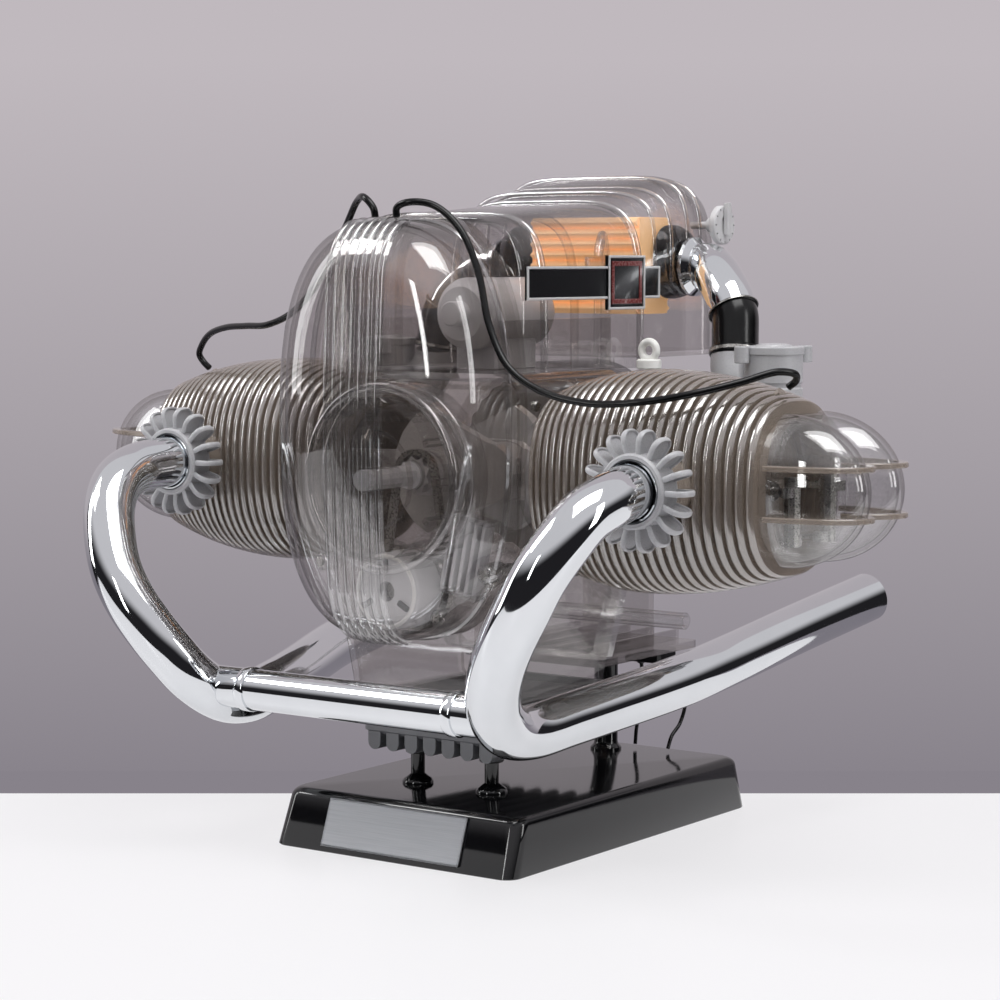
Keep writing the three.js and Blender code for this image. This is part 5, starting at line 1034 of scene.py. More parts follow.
class ENGINE_OT_chest(bpy.types.Operator):
    """Makes the timing chest with its stator ring, ignition plate, barred vent and four screw bosses"""

    bl_idname = "engine.chest"
    bl_label = "Timing chest"

    def execute(self, context):
        parts = [self.wall(), *self.stator(), *self.ignition(), *self.vent(), *self.bosses()]
        piece("chest_moulding", parts, "engine", "smoke", "timing_cover")
        return {"FINISHED"}

    def wall(self):
        front, rear = CHEST_FACE, -62.3
        stations = (
            (front + 2, 0.01, 0.01), (front + 2, 46, 79), (rear, 46, 79), (rear, 48, 81), (front + 0.5, 48, 81),
            (front, 47.5, 80.5), (front, 0.01, 0.01),
        )
        rings = [cover_ring(y, CHEST_MIDDLE, wide, tall) for y, wide, tall in stations]
        return carved(solid(loft(rings), "web", smooth=50), *shaft_bores(5.8, 3.8, -80, -50, "smoke"))

    def stator(self):
        """The clear ring round the rotor, with two polished lips."""
        ring = [(33, 0), (35.2, 0), (36, 0.8), (36, 20), (33, 20)]
        lip = [(32.6, 0), (32.6, 1.0), (33.2, 1.6), (35.6, 1.6), (36.2, 1.0), (36.2, 0)]
        parts = [solid(turned(ring, (0, CHEST_FACE - 19, CRANK_HEIGHT), Y_AXIS, 96, loop=True), "clear")]
        for along in (18.0, 8.0):
            shape = turned(lip, (0, CHEST_FACE - along, CRANK_HEIGHT), -Y_AXIS, 96, loop=True)
            parts.append(solid(shape, "edge", smooth=60))
        return parts

    def ignition(self):
        """The silver plate below the rotor, with a white ring and three slots."""
        base = [(3.9, 0), (13.6, 0), (14.6, 0.8), (15, 2), (15, 15), (3.9, 15)]
        ring = [(12.6, 0), (12.8, 0.6), (13.4, 0.9), (14.0, 0.6), (14.2, 0)]
        slots = repeated("wheel", solid(block((-1.1, 7.2, -0.3), (1.1, 12.4, 0.6), 0.3), "badge"), "badge", Count=3)
        return [
            solid(turned(ring, (0, CHEST_FACE - 14.9, CAM_HEIGHT), -Y_AXIS, 64, loop=True), "white", smooth=60),
            solid(turned(base, (0, CHEST_FACE - 15, CAM_HEIGHT), Y_AXIS, 72, loop=True), "silver"),
            moved(slots, placed((0, CHEST_FACE - 15.4, CAM_HEIGHT), math.pi / 2)),
        ]

    def vent(self):
        """Five bars in silver paint between two polished rails, leaning with the chest's outline. The silver is a
        painted highlight: it stands for the bright edges of clear plastic ribs.
        """
        half_height, half_deep, half_bar, half_rail, pitch = 14.5, 3, 0.8, 1.2, 3.75
        place = placed((27, CHEST_FACE, 118), 0.2, "Y")
        first = -2 * pitch
        # Silver paint on the bars stands in for the lamps' reflections on clear ribs: a painted highlight
        bar = block((first - half_bar, -half_deep, -half_height), (first + half_bar, half_deep, half_height), 0.3)
        bars = repeated("row", solid(bar, "silver"), "silver", Count=5, Step=(pitch * MM, 0, 0))
        rails = [
            solid(block((-8.6, -half_deep, z - half_rail), (8.6, half_deep, z + half_rail), 0.5), "edge")
            for z in (-half_height, half_height)
        ]
        return [moved(mesh, place) for mesh in (bars, *rails)]

    def bosses(self):
        parts = []
        for x, z in ((17, 94), (-17, 94), (39, 112), (-39, 112)):
            back, face, top = ((x, CHEST_FACE + along, z) for along in (1.5, -6, -7.2))
            parts.append(solid(rod(3.4, back, face, 32, 0.5), "edge", smooth=50))
            parts.append(solid(rod(1.9, face, top, 24, 0.4), "steel"))
        return parts


# Top cover, airbox and what they hold

TOP_FOOT = 186.3
# Shares of the airbox's length, with the shares of its full width and height there
AIRBOX_STATIONS = [
    (0, 1, 0.84), (0.1, 1, 0.877), (0.2, 1, 0.912), (0.3, 1, 0.94), (0.45, 1, 0.975), (0.6, 1, 1),
    (0.72, 0.985, 0.993), (0.82, 0.96, 0.97), (0.89, 0.91, 0.92), (0.94, 0.84, 0.84), (0.975, 0.76, 0.755),
    (1, 0.66, 0.66),
]
# The airbox: where it begins, its length, half width, foot and full height
AIRBOX_FRONT, AIRBOX_RUN, AIRBOX_HALF, AIRBOX_FOOT, AIRBOX_HIGH = 20.3, 69.7, 46, 190.0, 62.0 / 0.84
# Where the airbox's ports and the choke's dial lie, as (y, z)
AIR_PORT = (57, 226)
CHOKE = (70, 243)


def arch(y, half, foot, top):
    """The upper half of a rounded outline across the model, squarer than an ellipse."""
    steps, power = 40, 0.4
    ring = []
    for k in range(steps + 1):
        angle = math.pi * k / steps
        up = max(math.sin(angle), 0.0) ** power
        ring.append((half * swollen(math.cos(angle), power), y, foot + (top - foot) * up))
    return ring


def airbox_arches(inset):
    """Rings of the airbox from front to rear, drawn in on all sides."""
    last = len(AIRBOX_STATIONS) - 1
    rings = []
    for k, (along, wide, tall) in enumerate(AIRBOX_STATIONS):
        y = AIRBOX_FRONT + along * AIRBOX_RUN + {0: inset, last: -inset}.get(k, 0)
        top = AIRBOX_FOOT + AIRBOX_HIGH * tall - inset
        rings.append(arch(y, AIRBOX_HALF * wide - inset, AIRBOX_FOOT + inset, top))
    return rings


class ENGINE_OT_top(bpy.types.Operator):
    """Makes the top cover, the airbox with its ports, and the dark ducts inside it"""

    bl_idname = "engine.top"
    bl_label = "Top cover and airbox"

    def execute(self, context):
        self.cover()
        self.airbox()
        # Dark ducts lead from the filter to both ports
        stations = ((35.6, 228, 13.0, 13.5), (37, 228, 14.0, 15.0), (40.5, 227.5, 13.0, 13.5), (43.4, 226.5, 9.5, 9.6))
        for side in SIDES:
            rings = [ring_x(x, AIR_PORT[0], z, half_y, half_z, 3.0, 48) for x, z, half_y, half_z in stations]
            piece("duct_" + side.name, [solid(loft(rings), "badge", side, smooth=50)], "engine", "black")
        return {"FINISHED"}

    def cover(self):
        outer = [(-62, 44.6, 244.2), (-61.6, 45.5, 244.8), (-60.6, 46, 245.1), (20, 46, 252)]
        inner = [(-60, 44, 243.1), (21, 44, 250)]
        body, hollow = (
            solid(loft([arch(y, half, foot, top) for y, half, top in stations]), "smoke", smooth=50)
            for stations, foot in ((outer, TOP_FOOT), (inner, TOP_FOOT - 5))
        )
        parts = [carved(body, hollow)]
        # Bead round the rear rim, where the airbox meets the cover, and another near the front
        profile = [(0, -0.8), (0, 0.4), (0.5, 1.2), (1.4, 1.5), (2.3, 1.2), (2.8, 0.4), (2.8, -0.8)]
        for y, half, top in ((17.0, 46, 251.8), (-50.0, 46, 245.9)):
            bead = [arch(y + along, half + out, TOP_FOOT, top + out) for along, out in profile]
            parts.append(solid(band(bead), "edge", smooth=60))
        # Inner webs that carry the cover, and the seam over its middle
        for x in (-33.0, 33.0):
            parts.append(solid(block((x - 0.9, -59, TOP_FOOT), (x + 0.9, 16, 206), 0.2), "web"))
        seam = ((0, 0), (1.6, 0), (1.6, 3.0), (0, 3.0))
        rings = [arch(-24 + along, 44.2 - deep, TOP_FOOT, 247.6 - deep) for along, deep in seam]
        parts.append(solid(band(rings), "web"))
        piece("top_moulding", parts, "engine", "smoke", "top_cover")

    def airbox(self):
        box, hollow = (solid(loft(airbox_arches(inset)), "smoke", smooth=50) for inset in (0.0, 2.0))
        ports = solid(rod(8.5, (-90, *AIR_PORT), (90, *AIR_PORT), 56), "smoke")
        dial = solid(rod(1.8, (30, *CHOKE), (90, *CHOKE), 24), "smoke")
        parts = [carved(box, hollow, ports, dial)]
        profile = [(0, -0.6), (0, 0.2), (0.8, 0.7), (1.6, 0.2), (1.6, -0.6)]
        for at in (0.12, 0.3, 0.48, 0.64):
            wide, tall = next(station[1:] for station in AIRBOX_STATIONS if station[0] >= at)
            y, half, top = AIRBOX_FRONT + at * AIRBOX_RUN, AIRBOX_HALF * wide, AIRBOX_FOOT + AIRBOX_HIGH * tall
            rings = [arch(y + along, half + out, AIRBOX_FOOT + 30, top - 1.2 + out) for along, out in profile]
            parts.append(solid(band(rings), "edge", smooth=60))
        piece("airbox_moulding", parts, "engine", "smoke", "airbox")


class ENGINE_OT_inside_top(bpy.types.Operator):
    """Makes the pleated air filter, the starter motor, the breather and the choke dial"""

    bl_idname = "engine.inside_top"
    bl_label = "Filter, starter and choke"

    def execute(self, context):
        count = context.scene.engine_sizes.pleats
        pitch = 39.0 / count
        fold = [
            (36, 0), (33.2, pitch * 0.42), (33, pitch * 0.5), (33.2, pitch * 0.58), (36, pitch),
            (56, pitch), (58.8, pitch * 0.58), (59, pitch * 0.5), (58.8, pitch * 0.42), (56, 0),
        ]
        one = solid(extruded([(y, 207 + z) for y, z in fold], "x", -17.2, 34.2), "paper")
        pleats = repeated("row", one, "paper", Count=count, Step=(0, 0, pitch * MM))
        ends = [solid(block((x0, 35.2, 207.2), (x1, 56.8, 245.8), 0.6), "paper") for x0, x1 in ((-18, -17), (34, 35))]
        piece("filter_block", [pleats, *ends], "engine", "paper", "air_filter")
        motor = [
            (0, 0), (4.4, 0), (4.9, 0.5), (4.9, 6.7), (10.5, 6.7), (11.2, 7.4), (13.3, 9.6), (14, 11.2), (14, 13),
            (13.6, 13.4), (13.6, 14.2), (14, 14.6), (14, 50), (13.6, 51.5), (11.2, 55.4), (10.4, 56), (0, 56),
        ]
        body = solid(turned(motor, (0, -46, 208), Y_AXIS, 56), "silver")
        saddle = solid(block((-9.8, -29.2, TOP_FOOT), (9.8, -1.2, 198), 1.0), "grey")
        piece("starter", [body, saddle], "engine", "grey", "starter_motor", bevel=0.3)
        self.breather()
        self.choke()
        return {"FINISHED"}

    def breather(self):
        """A clear breather tube with its cup, which stands before the filter."""
        x, y = 31, 10.5
        route = [
            (24, 27, 188), (24, 27, 205), (24, 27, 224), (24.6, 25, 234), (27, 20, 238.5), (30, 14, 236), (x, 11, 231),
        ]
        cup = [
            (1.4, 0), (4.0, 0), (4.2, 0.4), (4.2, 5.4), (4.9, 6.2), (5.2, 16), (4.6, 16), (4.2, 6.6), (3.4, 6.0),
            (1.4, 6.0),
        ]
        shapes = (
            pipe(smooth_route(route, 48), 1.9, 24, 1.2),
            turned(cup, (x, y, 214), Z_AXIS, 40, loop=True),
            block((21, 24, TOP_FOOT), (27, 30, 189.5), 1.0),
            rod(1.5, (x, y, TOP_FOOT), (x, y, 216), 20, 0.2),
        )
        piece("breather", [solid(shape, "clear") for shape in shapes], "engine", "clear")

    def choke(self):
        y, z = CHOKE
        face = [
            (0, 0), (2.9, 0), (2.9, 4.2), (7.4, 4.4), (8, 5.0), (8, 7.2), (7.4, 7.7), (3.4, 7.7), (3.0, 7.2), (0, 7.2),
        ]
        stem = solid(rod(1.5, (38, y, z), (51, y, z), 24), "silver")
        dial = solid(turned(face, (46.3, y, z), X_AXIS, 48), "silver")
        bar = solid(block((53.6, y - 1.3, z - 4), (56.6, y + 1.3, z + 9), 0.7), "silver")
        ticks = repeated("wheel", solid(block((6.4, -0.25, 7.6), (7.5, 0.25, 8.0)), "badge"), "badge", Count=12)
        moved(ticks, placed((46.1, y, z), math.pi / 2, "Y"))
        piece("choke_knob", [stem, dial, bar, ticks], "choke", "silver", "choke_dial", bevel=0.25)


def rectangle(front, rear, low, high):
    return [(front, low), (rear, low), (rear, high), (front, high)]


def drawn_in(outline, inset):
    """A rectangle of pairs drawn in on all sides."""
    us, vs = [u for u, _ in outline], [v for _, v in outline]
    u_mid, v_mid = (min(us) + max(us)) / 2, (min(vs) + max(vs)) / 2
    return [(u - math.copysign(inset, u - u_mid), v - math.copysign(inset, v - v_mid)) for u, v in outline]


def raised_frame(outline, wide, outer, inner):
    """A frame inside a rectangle of (y, z) pairs, from x inner to outer, its outer edges cut off."""
    cut = 0.25
    stations = (
        (0, inner), (0, outer - cut), (cut, outer), (wide - cut, outer), (wide, outer - cut), (wide, inner),
    )
    return loft([[(x, y, z) for y, z in drawn_in(outline, inset)] for inset, x in stations], loop=True)


class ENGINE_OT_badge(bpy.types.Operator):
    """Makes the badge: a long black enamel bar in a raised rim, with a taller framed block and no lettering"""

    bl_idname = "engine.badge"
    bl_label = "Badge"

    def execute(self, context):
        back, bar, tall = 47.9, rectangle(-64.0, 28.0, 213.7, 226.3), rectangle(-9.84, 16.16, 209.5, 230.5)
        parts = [
            solid(extruded(bar, "x", back, 48.8), "badge"),
            solid(extruded(tall, "x", back, 49.45), "badge"),
            solid(raised_frame(bar, 1.0, 49.35, 48.6), "silver"),
            solid(raised_frame(tall, 1.0, 49.9, 49.1), "silver"),
            solid(raised_frame(drawn_in(tall, 2.2), 1.9, 49.8, 49.1), "red"),
        ]
        for y in (-45.6, -8.8):
            parts.append(solid(rod(2, (46.3, y, 220), (48.2, y, 220), 20), "badge"))
        piece("badge_plate", parts, "engine", "badge", "badge")
        return {"FINISHED"}


# Cylinders

# Where the heads and the rocker covers begin, as distances from the middle
HEAD_START, COVER_START = 106.98, 151.2
# Exponent of the outline that fins, heads and rocker covers share
FIN_SQUARENESS = 2.6
# In metres: where the tallest fin stands, and how much height is lost at a reach from it, inwards and outwards
FIN_FALLS = {"Peak_at": 0.092, "Inner_fall": 0.0105, "Inner_reach": 0.044, "Outer_fall": 0.0145, "Outer_reach": 0.068}


def fin_item(hole, thickness):
    """One fin for the fin tree: its hole, as half width, half height and squareness, is at true size, and its rim on a
    unit outline."""
    count = 72
    # Distance through the fin, whether it is at the rim, and the share of the rim's size
    profile = [
        (0.0, 0, 1.0), (0.0, 1, 0.988), (0.3 * thickness, 1, 1.0), (0.7 * thickness, 1, 1.0), (thickness, 1, 0.988),
        (thickness, 0, 1.0),
    ]
    points, rim, faces = [], [], quads(len(profile), count)
    for x, at_rim, share in profile:
        for u, v in oval(1, 1, FIN_SQUARENESS if at_rim else hole[2], count):
            wide, tall = (share, share) if at_rim else (hole[0] * MM, hole[1] * MM)
            points.append((x * MM, u * wide, v * tall))
            rim.append(float(at_rim))
    mesh = bpy.data.meshes.new("fin")
    mesh.from_pydata(points, [], faces)
    mesh.attributes.new("rim", "FLOAT", "POINT").data.foreach_set("value", rim)
    edge = [count <= f < 4 * count for f in range(len(faces))]
    mesh.attributes.new("edge", "BOOLEAN", "FACE").data.foreach_set("value", edge)
    mesh.materials.append(FINISHES["fins"])
    mesh.shade_smooth()
    return mesh


def fins_for(sizes, hole, first, count, side):
    stack = repeated(
        "fin_stack", fin_item(hole, sizes.fin_thickness / MM), "fins",
        Count=count, First=first * MM, Pitch=sizes.fin_pitch, Peak=sizes.fin_peak, Depth_share=0.97,
        Height=CRANK_HEIGHT * MM, Edge=FINISHES["fin_edge"], **FIN_FALLS,
    )
    return mirrored(moved(stack, placed((0, side.axis, 0))), side)


class ENGINE_OT_cylinders(bpy.types.Operator):
    """Makes the finned barrels and heads on both sides"""

    bl_idname = "engine.cylinders"
    bl_label = "Barrels and heads"

    def execute(self, context):
        for side in SIDES:
            self.barrel(context.scene.engine_sizes, side)
            self.head(context.scene.engine_sizes, side)
        return {"FINISHED"}

    def barrel(self, sizes, side):
        wall = [(22.85, 50.3), (27.0, 50.3), (27.0, 52.6), (28.5, 53.0), (28.5, 106.68), (22.85, 106.68)]
        parts = [
            fins_for(sizes, (27.4, 27.4, 2.0), 53.0, sizes.barrel_fins, side),
            solid(turned(wall, (0, side.axis, CRANK_HEIGHT), X_AXIS, 72, loop=True), "fins", side),
        ]
        # The pushrods' tubes, along the pushrods' own lines
        radius, bore = 2.9, 2.1
        for y in (-8.0, 8.0):
            start, end = Vector((7.9, side.axis + y, CAM_HEIGHT)), Vector((151, side.axis + y, 129))
            near, far = (start.lerp(end, (x - start.x) / (end.x - start.x)) for x in (47.2, 106.6))
            parts.append(solid(pipe([near, near.lerp(far, 0.5), far], radius, 28, bore), "clear", side))
        piece("barrel_moulding_" + side.name, parts, "engine", "fin_smoke", "barrel_" + side.name)

    def head(self, sizes, side):
        start, end, axis = HEAD_START, 150.9, side.axis
        stations = [
            (start, 20, 20, 2.0), (start, 27, 25.5, 2.6), (150.4, 27, 25.5, 2.6), (end, 26.5, 25, 2.6),
            (end, 23, 23, 2.6), (137, 23, 23, 2.6), (137, 0.01, 0.01, 2.0), (118, 0.01, 0.01, 2.0), (112, 14, 14, 2.0),
        ]
        rings = [ring_x(x, axis, CRANK_HEIGHT, y, z, squareness) for x, y, z, squareness in stations]
        exhaust = [(7.2, 0), (11.4, 0), (11.4, 20.1), (11.0, 20.5), (7.2, 20.5)]
        intake = [(7.2, 0), (9, 0), (9, 21.3), (8.7, 21.7), (7.2, 21.7)]
        parts = [
            fins_for(sizes, (26.2, 24.8, FIN_SQUARENESS), start, sizes.head_fins, side),
            solid(loft(rings, loop=True), "fins", side, smooth=50),
            solid(turned(exhaust, (PORT_X, axis - 27, PORT_HEIGHT), -Y_AXIS, 48, loop=True), "fins", side),
            solid(turned(intake, (PORT_X, axis + 27, PORT_HEIGHT), Y_AXIS, 48, loop=True), "fins", side),
        ]
        piece("head_moulding_" + side.name, parts, "engine", "fin_smoke", "head_" + side.name)


# Rocker covers

# Each lobe: how far it stands out, its half width and half height, and how far its middle lies from the cover's
LOBE_REACH, LOBE_WIDE, LOBE_TALL, LOBE_ASIDE = 33, 15, 27.5, 12.6
# How far the ribs lie above and below the middle
RIB_LEVEL = 9.0


def lobes(side, swell):
    """Both lobes as one body, cut off flat at the head."""
    foot = -0.5 if swell else 0
    arcs = [k / 24 * math.pi / 2 for k in range(1, 25)]
    outline = [(0, foot), (1, foot), *((math.cos(arc), (LOBE_REACH + swell) * math.sin(arc)) for arc in arcs)]
    bodies = []
    for y in (-LOBE_ASIDE, LOBE_ASIDE):
        rings = []
        for share, along in outline:
            wide, tall = (LOBE_WIDE + swell) * share, (LOBE_TALL + swell) * share
            rings.append(ring_x(COVER_START + along, side.axis + y, CRANK_HEIGHT, wide, tall, 2.0))
        bodies.append(solid(loft(rings), "clear", side, smooth=60))
    return joined(*bodies)


def lobe_edge(axis):
    """The line round both lobes at a rib's level, as (x, y, way out)."""
    share = math.sqrt(1 - (RIB_LEVEL / LOBE_TALL) ** 2)
    line = []
    for sign in (-1, 1):
        for k in range(25):
            arc = math.pi * k / 24
            along, across = LOBE_REACH * share * math.sin(arc), sign * LOBE_ASIDE - LOBE_WIDE * share * math.cos(arc)
            if across * sign >= 0:
                out = Vector((math.sin(arc) / LOBE_REACH, -math.cos(arc) / LOBE_WIDE)).normalized()
                line.append((COVER_START + along, axis + across, out))
    return line


def rib_along(line, z):
    """A thin level rib along a line of points, standing 3 mm out of the lobes."""
    section = ((-0.6, -1.0), (2.6, -1.0), (3.0, -0.6), (3.0, 0.6), (2.6, 1.0), (-0.6, 1.0))
    return loft([[(x + out.x * u, y + out.y * u, z + v) for u, v in section] for x, y, out in line])


class ENGINE_OT_rocker_covers(bpy.types.Operator):
    """Makes the clear rocker covers: two domed lobes each, crossed by two thin ribs"""

    bl_idname = "engine.rocker_covers"
    bl_label = "Rocker covers"

    def execute(self, context):
        start = COVER_START
        stations = ((start, 27), (153.7, 27), (154.2, 26.5), (154.2, 23.2), (start, 23.2))
        for side in SIDES:
            parts = [carved(lobes(side, 0.0), lobes(side, -2.0))]
            rings = [ring_x(x, side.axis, CRANK_HEIGHT, half, half, FIN_SQUARENESS) for x, half in stations]
            parts.append(solid(loft(rings, loop=True), "clear", side))
            for rise in (-RIB_LEVEL, RIB_LEVEL):
                parts.append(solid(rib_along(lobe_edge(side.axis), CRANK_HEIGHT + rise), "fins", side))
            piece("rocker_dome_" + side.name, parts, "engine", "clear", "rocker_cover_" + side.name)
        return {"FINISHED"}


# Exhaust


def exhaust_route(side):
    y, lean = side.axis, side.lean
    return [
        (PORT_X, y - 48.1, 148), (PORT_X, y - 58.5, 148), (117, -112 + lean, 146.2), (115.2, -124.5 + lean, 141.5),
        (112, -132.5 + lean, 133.5), (106.5, -138.5 + lean, 122.5), (99.7, -139.6 + 0.8 * lean, 110),
        (92.2, -137.5 + 0.6 * lean, 99), (84.5, -132.5 + 0.4 * lean, 88.5), (77.5, -125.5 + 0.2 * lean, 78.5),
        (71.5, -116, 68.5), (68, -103, 60), (68, -89, 57.5), (71, -70, 59.5), (75.5, -50, 62.3), (85, -13, 68.2),
        (88.5, 18, 73), (94, 62, 81), (100, 110, 89.2),
    ]


def nut_fin():
    """One cooling fin of the nut: a thin plate along its axis, with a round outer end and a full bead round it."""
    outline = [(12.6, -4.2)]
    for k in range(17):
        angle = math.pi * (k / 16 - 0.5)
        outline.append((17.4 + 4.6 * math.cos(angle) ** 0.8, 5.3 * swollen(math.sin(angle), 0.8)))
    outline.append((12.6, 4.2))
    # Shares of the outline's size about its middle, with the height there
    bead = ((0.76, 0.3), (0.84, 0.95), (0.93, 1.05), (1.0, 0.5))
    section = [*((share, -height) for share, height in bead), *reversed(bead)]
    middle = 16.8
    return loft([[(middle + (x - middle) * share, height, z * share) for x, z in outline] for share, height in section])


class ENGINE_OT_exhaust(bpy.types.Operator):
    """Makes the chrome exhaust pipes, the cross pipe and the petalled nuts"""

    bl_idname = "engine.exhaust"
    bl_label = "Exhaust"

    def execute(self, context):
        sizes = context.scene.engine_sizes
        radius, wall = sizes.pipe_radius / MM, sizes.pipe_wall / MM
        for side in SIDES:
            path = smooth_route(exhaust_route(side), 150)
            tube = solid(pipe(path, radius, 56, radius - wall), "chrome", side, smooth=50)
            piece("exhaust_tube_" + side.name, [tube], "engine", "chrome", "exhaust_pipe_" + side.name)
            self.nut(sizes, side)
        self.cross_pipe(radius, sizes.cross_radius / MM)
        return {"FINISHED"}

    def nut(self, sizes, side):
        rear = side.axis - PORT_REACH + 5.5
        hub = [(11.5, 0.3), (12.6, 0.3), (13.5, 1.2), (13.5, 10.2), (12.7, 11), (11.5, 11)]
        lining = [(10.2, 1.0), (11.4, 1.0), (11.4, 10.4), (11.0, 11.2), (10.5, 11.2), (10.2, 10.6)]
        hub, lining = (turned(ring, (PORT_X, rear, PORT_HEIGHT), -Y_AXIS, 72, loop=True) for ring in (hub, lining))
        fins = repeated("wheel", solid(nut_fin(), "grey", smooth=60), "grey", Count=sizes.petals)
        fins = moved(fins, placed((PORT_X, rear - 5.65, PORT_HEIGHT), math.pi / 2))
        parts = [solid(hub, "grey", side), solid(lining, "chrome", side, smooth=50), mirrored(fins, side)]
        piece("nut_" + side.name, parts, "engine", "grey", "exhaust_nut_" + side.name)

    def cross_pipe(self, exhaust_radius, radius):
        y, z = -108, 65
        tube = solid(pipe([Vector((x, y, z)) for x in (-66, -46, -22, 0, 22, 46, 66)], radius, 56), "chrome", smooth=50)
        # Both exhaust bends, a little slimmer, cut the pipe's ends to their shape
        bends = [
            solid(pipe(smooth_route(exhaust_route(side), 90)[45:75], exhaust_radius - 0.4, 40), "chrome", side)
            for side in SIDES
        ]
        section = ((-0.2, 0), (0.5, 0), (0.7, 0.3), (0.7, 3.9), (0.5, 4.2), (-0.2, 4.2))
        ring = [(radius + out, along) for out, along in section]
        collars = [solid(turned(ring, (x, y, z), X_AXIS, 56, loop=True), "chrome") for x in (-51.2, 47.0)]
        piece("cross_tube", [carved(tube, *bends), *collars], "engine", "chrome", "cross_pipe")


# Carburettors and intake

# Shares of the way from the airbox's port to the carburettor: out, along and down
AIR_TUBE_SHARES = [(0.06, 0, 0), (0.245, 0, 0), (0.49, 0.32, 0.1), (0.79, 0.66, 0.35), (0.86, 0.72, 0.46)]
HOSE_SHARES = [(0.872, 0.732, 0.477), (0.92, 0.78, 0.56), (0.96, 0.88, 0.76), (1, 1, 1)]


def air_route(side, shares):
    x, (y, z) = 46, AIR_PORT
    out_all, along_all, down_all = 32.6, side.axis + 73.9 - y, 35
    return [(x + out_all * out, y + along_all * along, z - down_all * down) for out, along, down in shares]


class ENGINE_OT_intake(bpy.types.Operator):
    """Makes the carburettors, the rubber sleeves and the bright air tubes"""

    bl_idname = "engine.intake"
    bl_label = "Carburettors and intake"

    def execute(self, context):
        full, waist, steps = 10.0, 9.3, 40
        for side in SIDES:
            self.carburettor(side)
            path = smooth_route(air_route(side, HOSE_SHARES), steps)
            # Both ends of the sleeve are full, and hold a steel band each
            radii = [waist if 4 < k < steps - 4 else full for k in range(steps + 1)]
            sleeve = solid(pipe(path, full, 56, radii=radii), "rubber", side, smooth=45)
            bands = [solid(pipe(path[k : k + 3], full + 0.35, 56, 9.2), "steel", side) for k in (1, steps - 3)]
            piece("sleeve_" + side.name, [sleeve, *bands], "engine", "rubber", "intake_hose_" + side.name)
            path = smooth_route(air_route(side, AIR_TUBE_SHARES), 48)
            tube = solid(pipe(path, 9.5, 56), "chrome", side, smooth=45)
            bell = [(0, 0), (11.6, 0), (12, 0.4), (12, 1.8), (9.5, 4), (0, 4)]
            flange = solid(turned(bell, (46.3, *AIR_PORT), X_AXIS, 56), "chrome", side)
            piece("air_elbow_" + side.name, [tube, flange], "engine", "chrome", "air_tube_" + side.name)
        return {"FINISHED"}

    def carburettor(self, side):
        x, y, lean = CARB_X, side.axis + CARB_Y, side.lean
        front = side.axis + 49
        flange = [(0, 0), (8.6, 0), (9, 0.5), (9, 9.5), (8.6, 10), (0, 10)]
        dome = [(0, 0), (11, 0), (11.5, 0.8), (11.5, 26), (10.9, 26.6), (10.9, 28), (11.5, 28.6), (11.5, 39), (0, 39)]
        cap = [
            (0, 0), (11.6, 0), (12, 0.5), (12, 2.9), (11.4, 3.4), (9.6, 3.5), (9.0, 3.1), (7.6, 3.1), (7.0, 3.9),
            (4.2, 4.5), (0, 4.5),
        ]
        bowl = [
            (0, 0), (5.5, 0), (6.3, 0.7), (9.6, 5.0), (10.5, 7.0), (10.5, 14.5), (11.2, 15.0), (11.2, 17.0),
            (10.5, 17.5), (10.5, 20), (0, 20),
        ]
        shapes = [
            pipe([(PORT_X, front + 9, PORT_HEIGHT), (107, front + 14, 156), (x, y, 163)], 8, 40),
            turned(flange, (PORT_X, front, PORT_HEIGHT), Y_AXIS, 48),
            *(turned(outline, (x, y, z), Z_AXIS, 56) for outline, z in ((dome, 153), (cap, 192), (bowl, 143))),
        ]
        lug = [(0, 0), (2.7, 0), (3, 0.3), (3, 6.2), (2.7, 6.5), (1.9, 6.5), (1.9, 5.6), (0, 5.6)]
        # Two lugs stand 14 mm from the dome's axis, each on an arm
        lug_turn = math.radians(60)
        for reach in (-14, 14):
            lug_x, lug_y = x + reach * math.cos(lug_turn), y + reach * math.sin(lug_turn)
            shapes.append(turned(lug, (lug_x, lug_y, 189), Z_AXIS, 32))
            start = (x + math.copysign(5, reach), y + math.copysign(8.6, reach), 191)
            shapes.append(pipe([start, (lug_x, lug_y, 191)], 1.9, 24))
        end, before = Vector((78.6, 36.9 + lean, 191)), Vector((77.5, 39 + 0.8 * lean, 199))
        inward = (before - end).normalized()
        inlet = smooth_route([end - inward * 0.3, end - inward * 5, (90, y, 168), (x, y, 163)], 20)
        shapes.append(pipe(inlet, 9.5, 48))
        parts = [solid(shape, "grey", side) for shape in shapes]
        piece("carb_" + side.name, parts, "engine", "grey", "carburettor_" + side.name)


class ENGINE_OT_dipstick(bpy.types.Operator):
    """Makes the white dipstick with its screw cap and finger ring"""

    bl_idname = "engine.dipstick"
    bl_label = "Dipstick"

    def execute(self, context):
        (x, y), top, turn = DIPSTICK, 190.05, 3.4
        cap = [(0, 0), (4.6, 0), (4.9, 0.3), (4.9, 3.2), (4.2, 3.75), (0, 3.75)]
        rings = []
        for k in range(40):
            out = Vector((math.cos(2 * math.pi * k / 40), 0, math.sin(2 * math.pi * k / 40)))
            rings.append(circle(Vector((x, y, top + turn)) + out * turn, out, Y_AXIS, 1.5, 20))
        shapes = (
            rod(1.5, (x, y, top - 42), (x, y, top), 24, 0.2), turned(cap, (x, y, TOP_FOOT), Z_AXIS, 40),
            loft(rings, loop=True),
        )
        parts = [solid(shape, "white") for shape in shapes]
        piece("dipstick_handle", parts, "dipstick", "white", "dipstick")
        return {"FINISHED"}


# Moving parts

# The finish of each CAD node that stays in sight, where it isn't steel
CARRIED = {
    "base_plate": "black", "alternator_rotor": "web", "flywheel": "silver", "crankshaft": "silver",
    "conrod_right": "silver", "conrod_left": "silver", "spark_plug_right": "fins", "spark_plug_left": "fins",
    "piston_right": "grey", "piston_left": "grey",
}


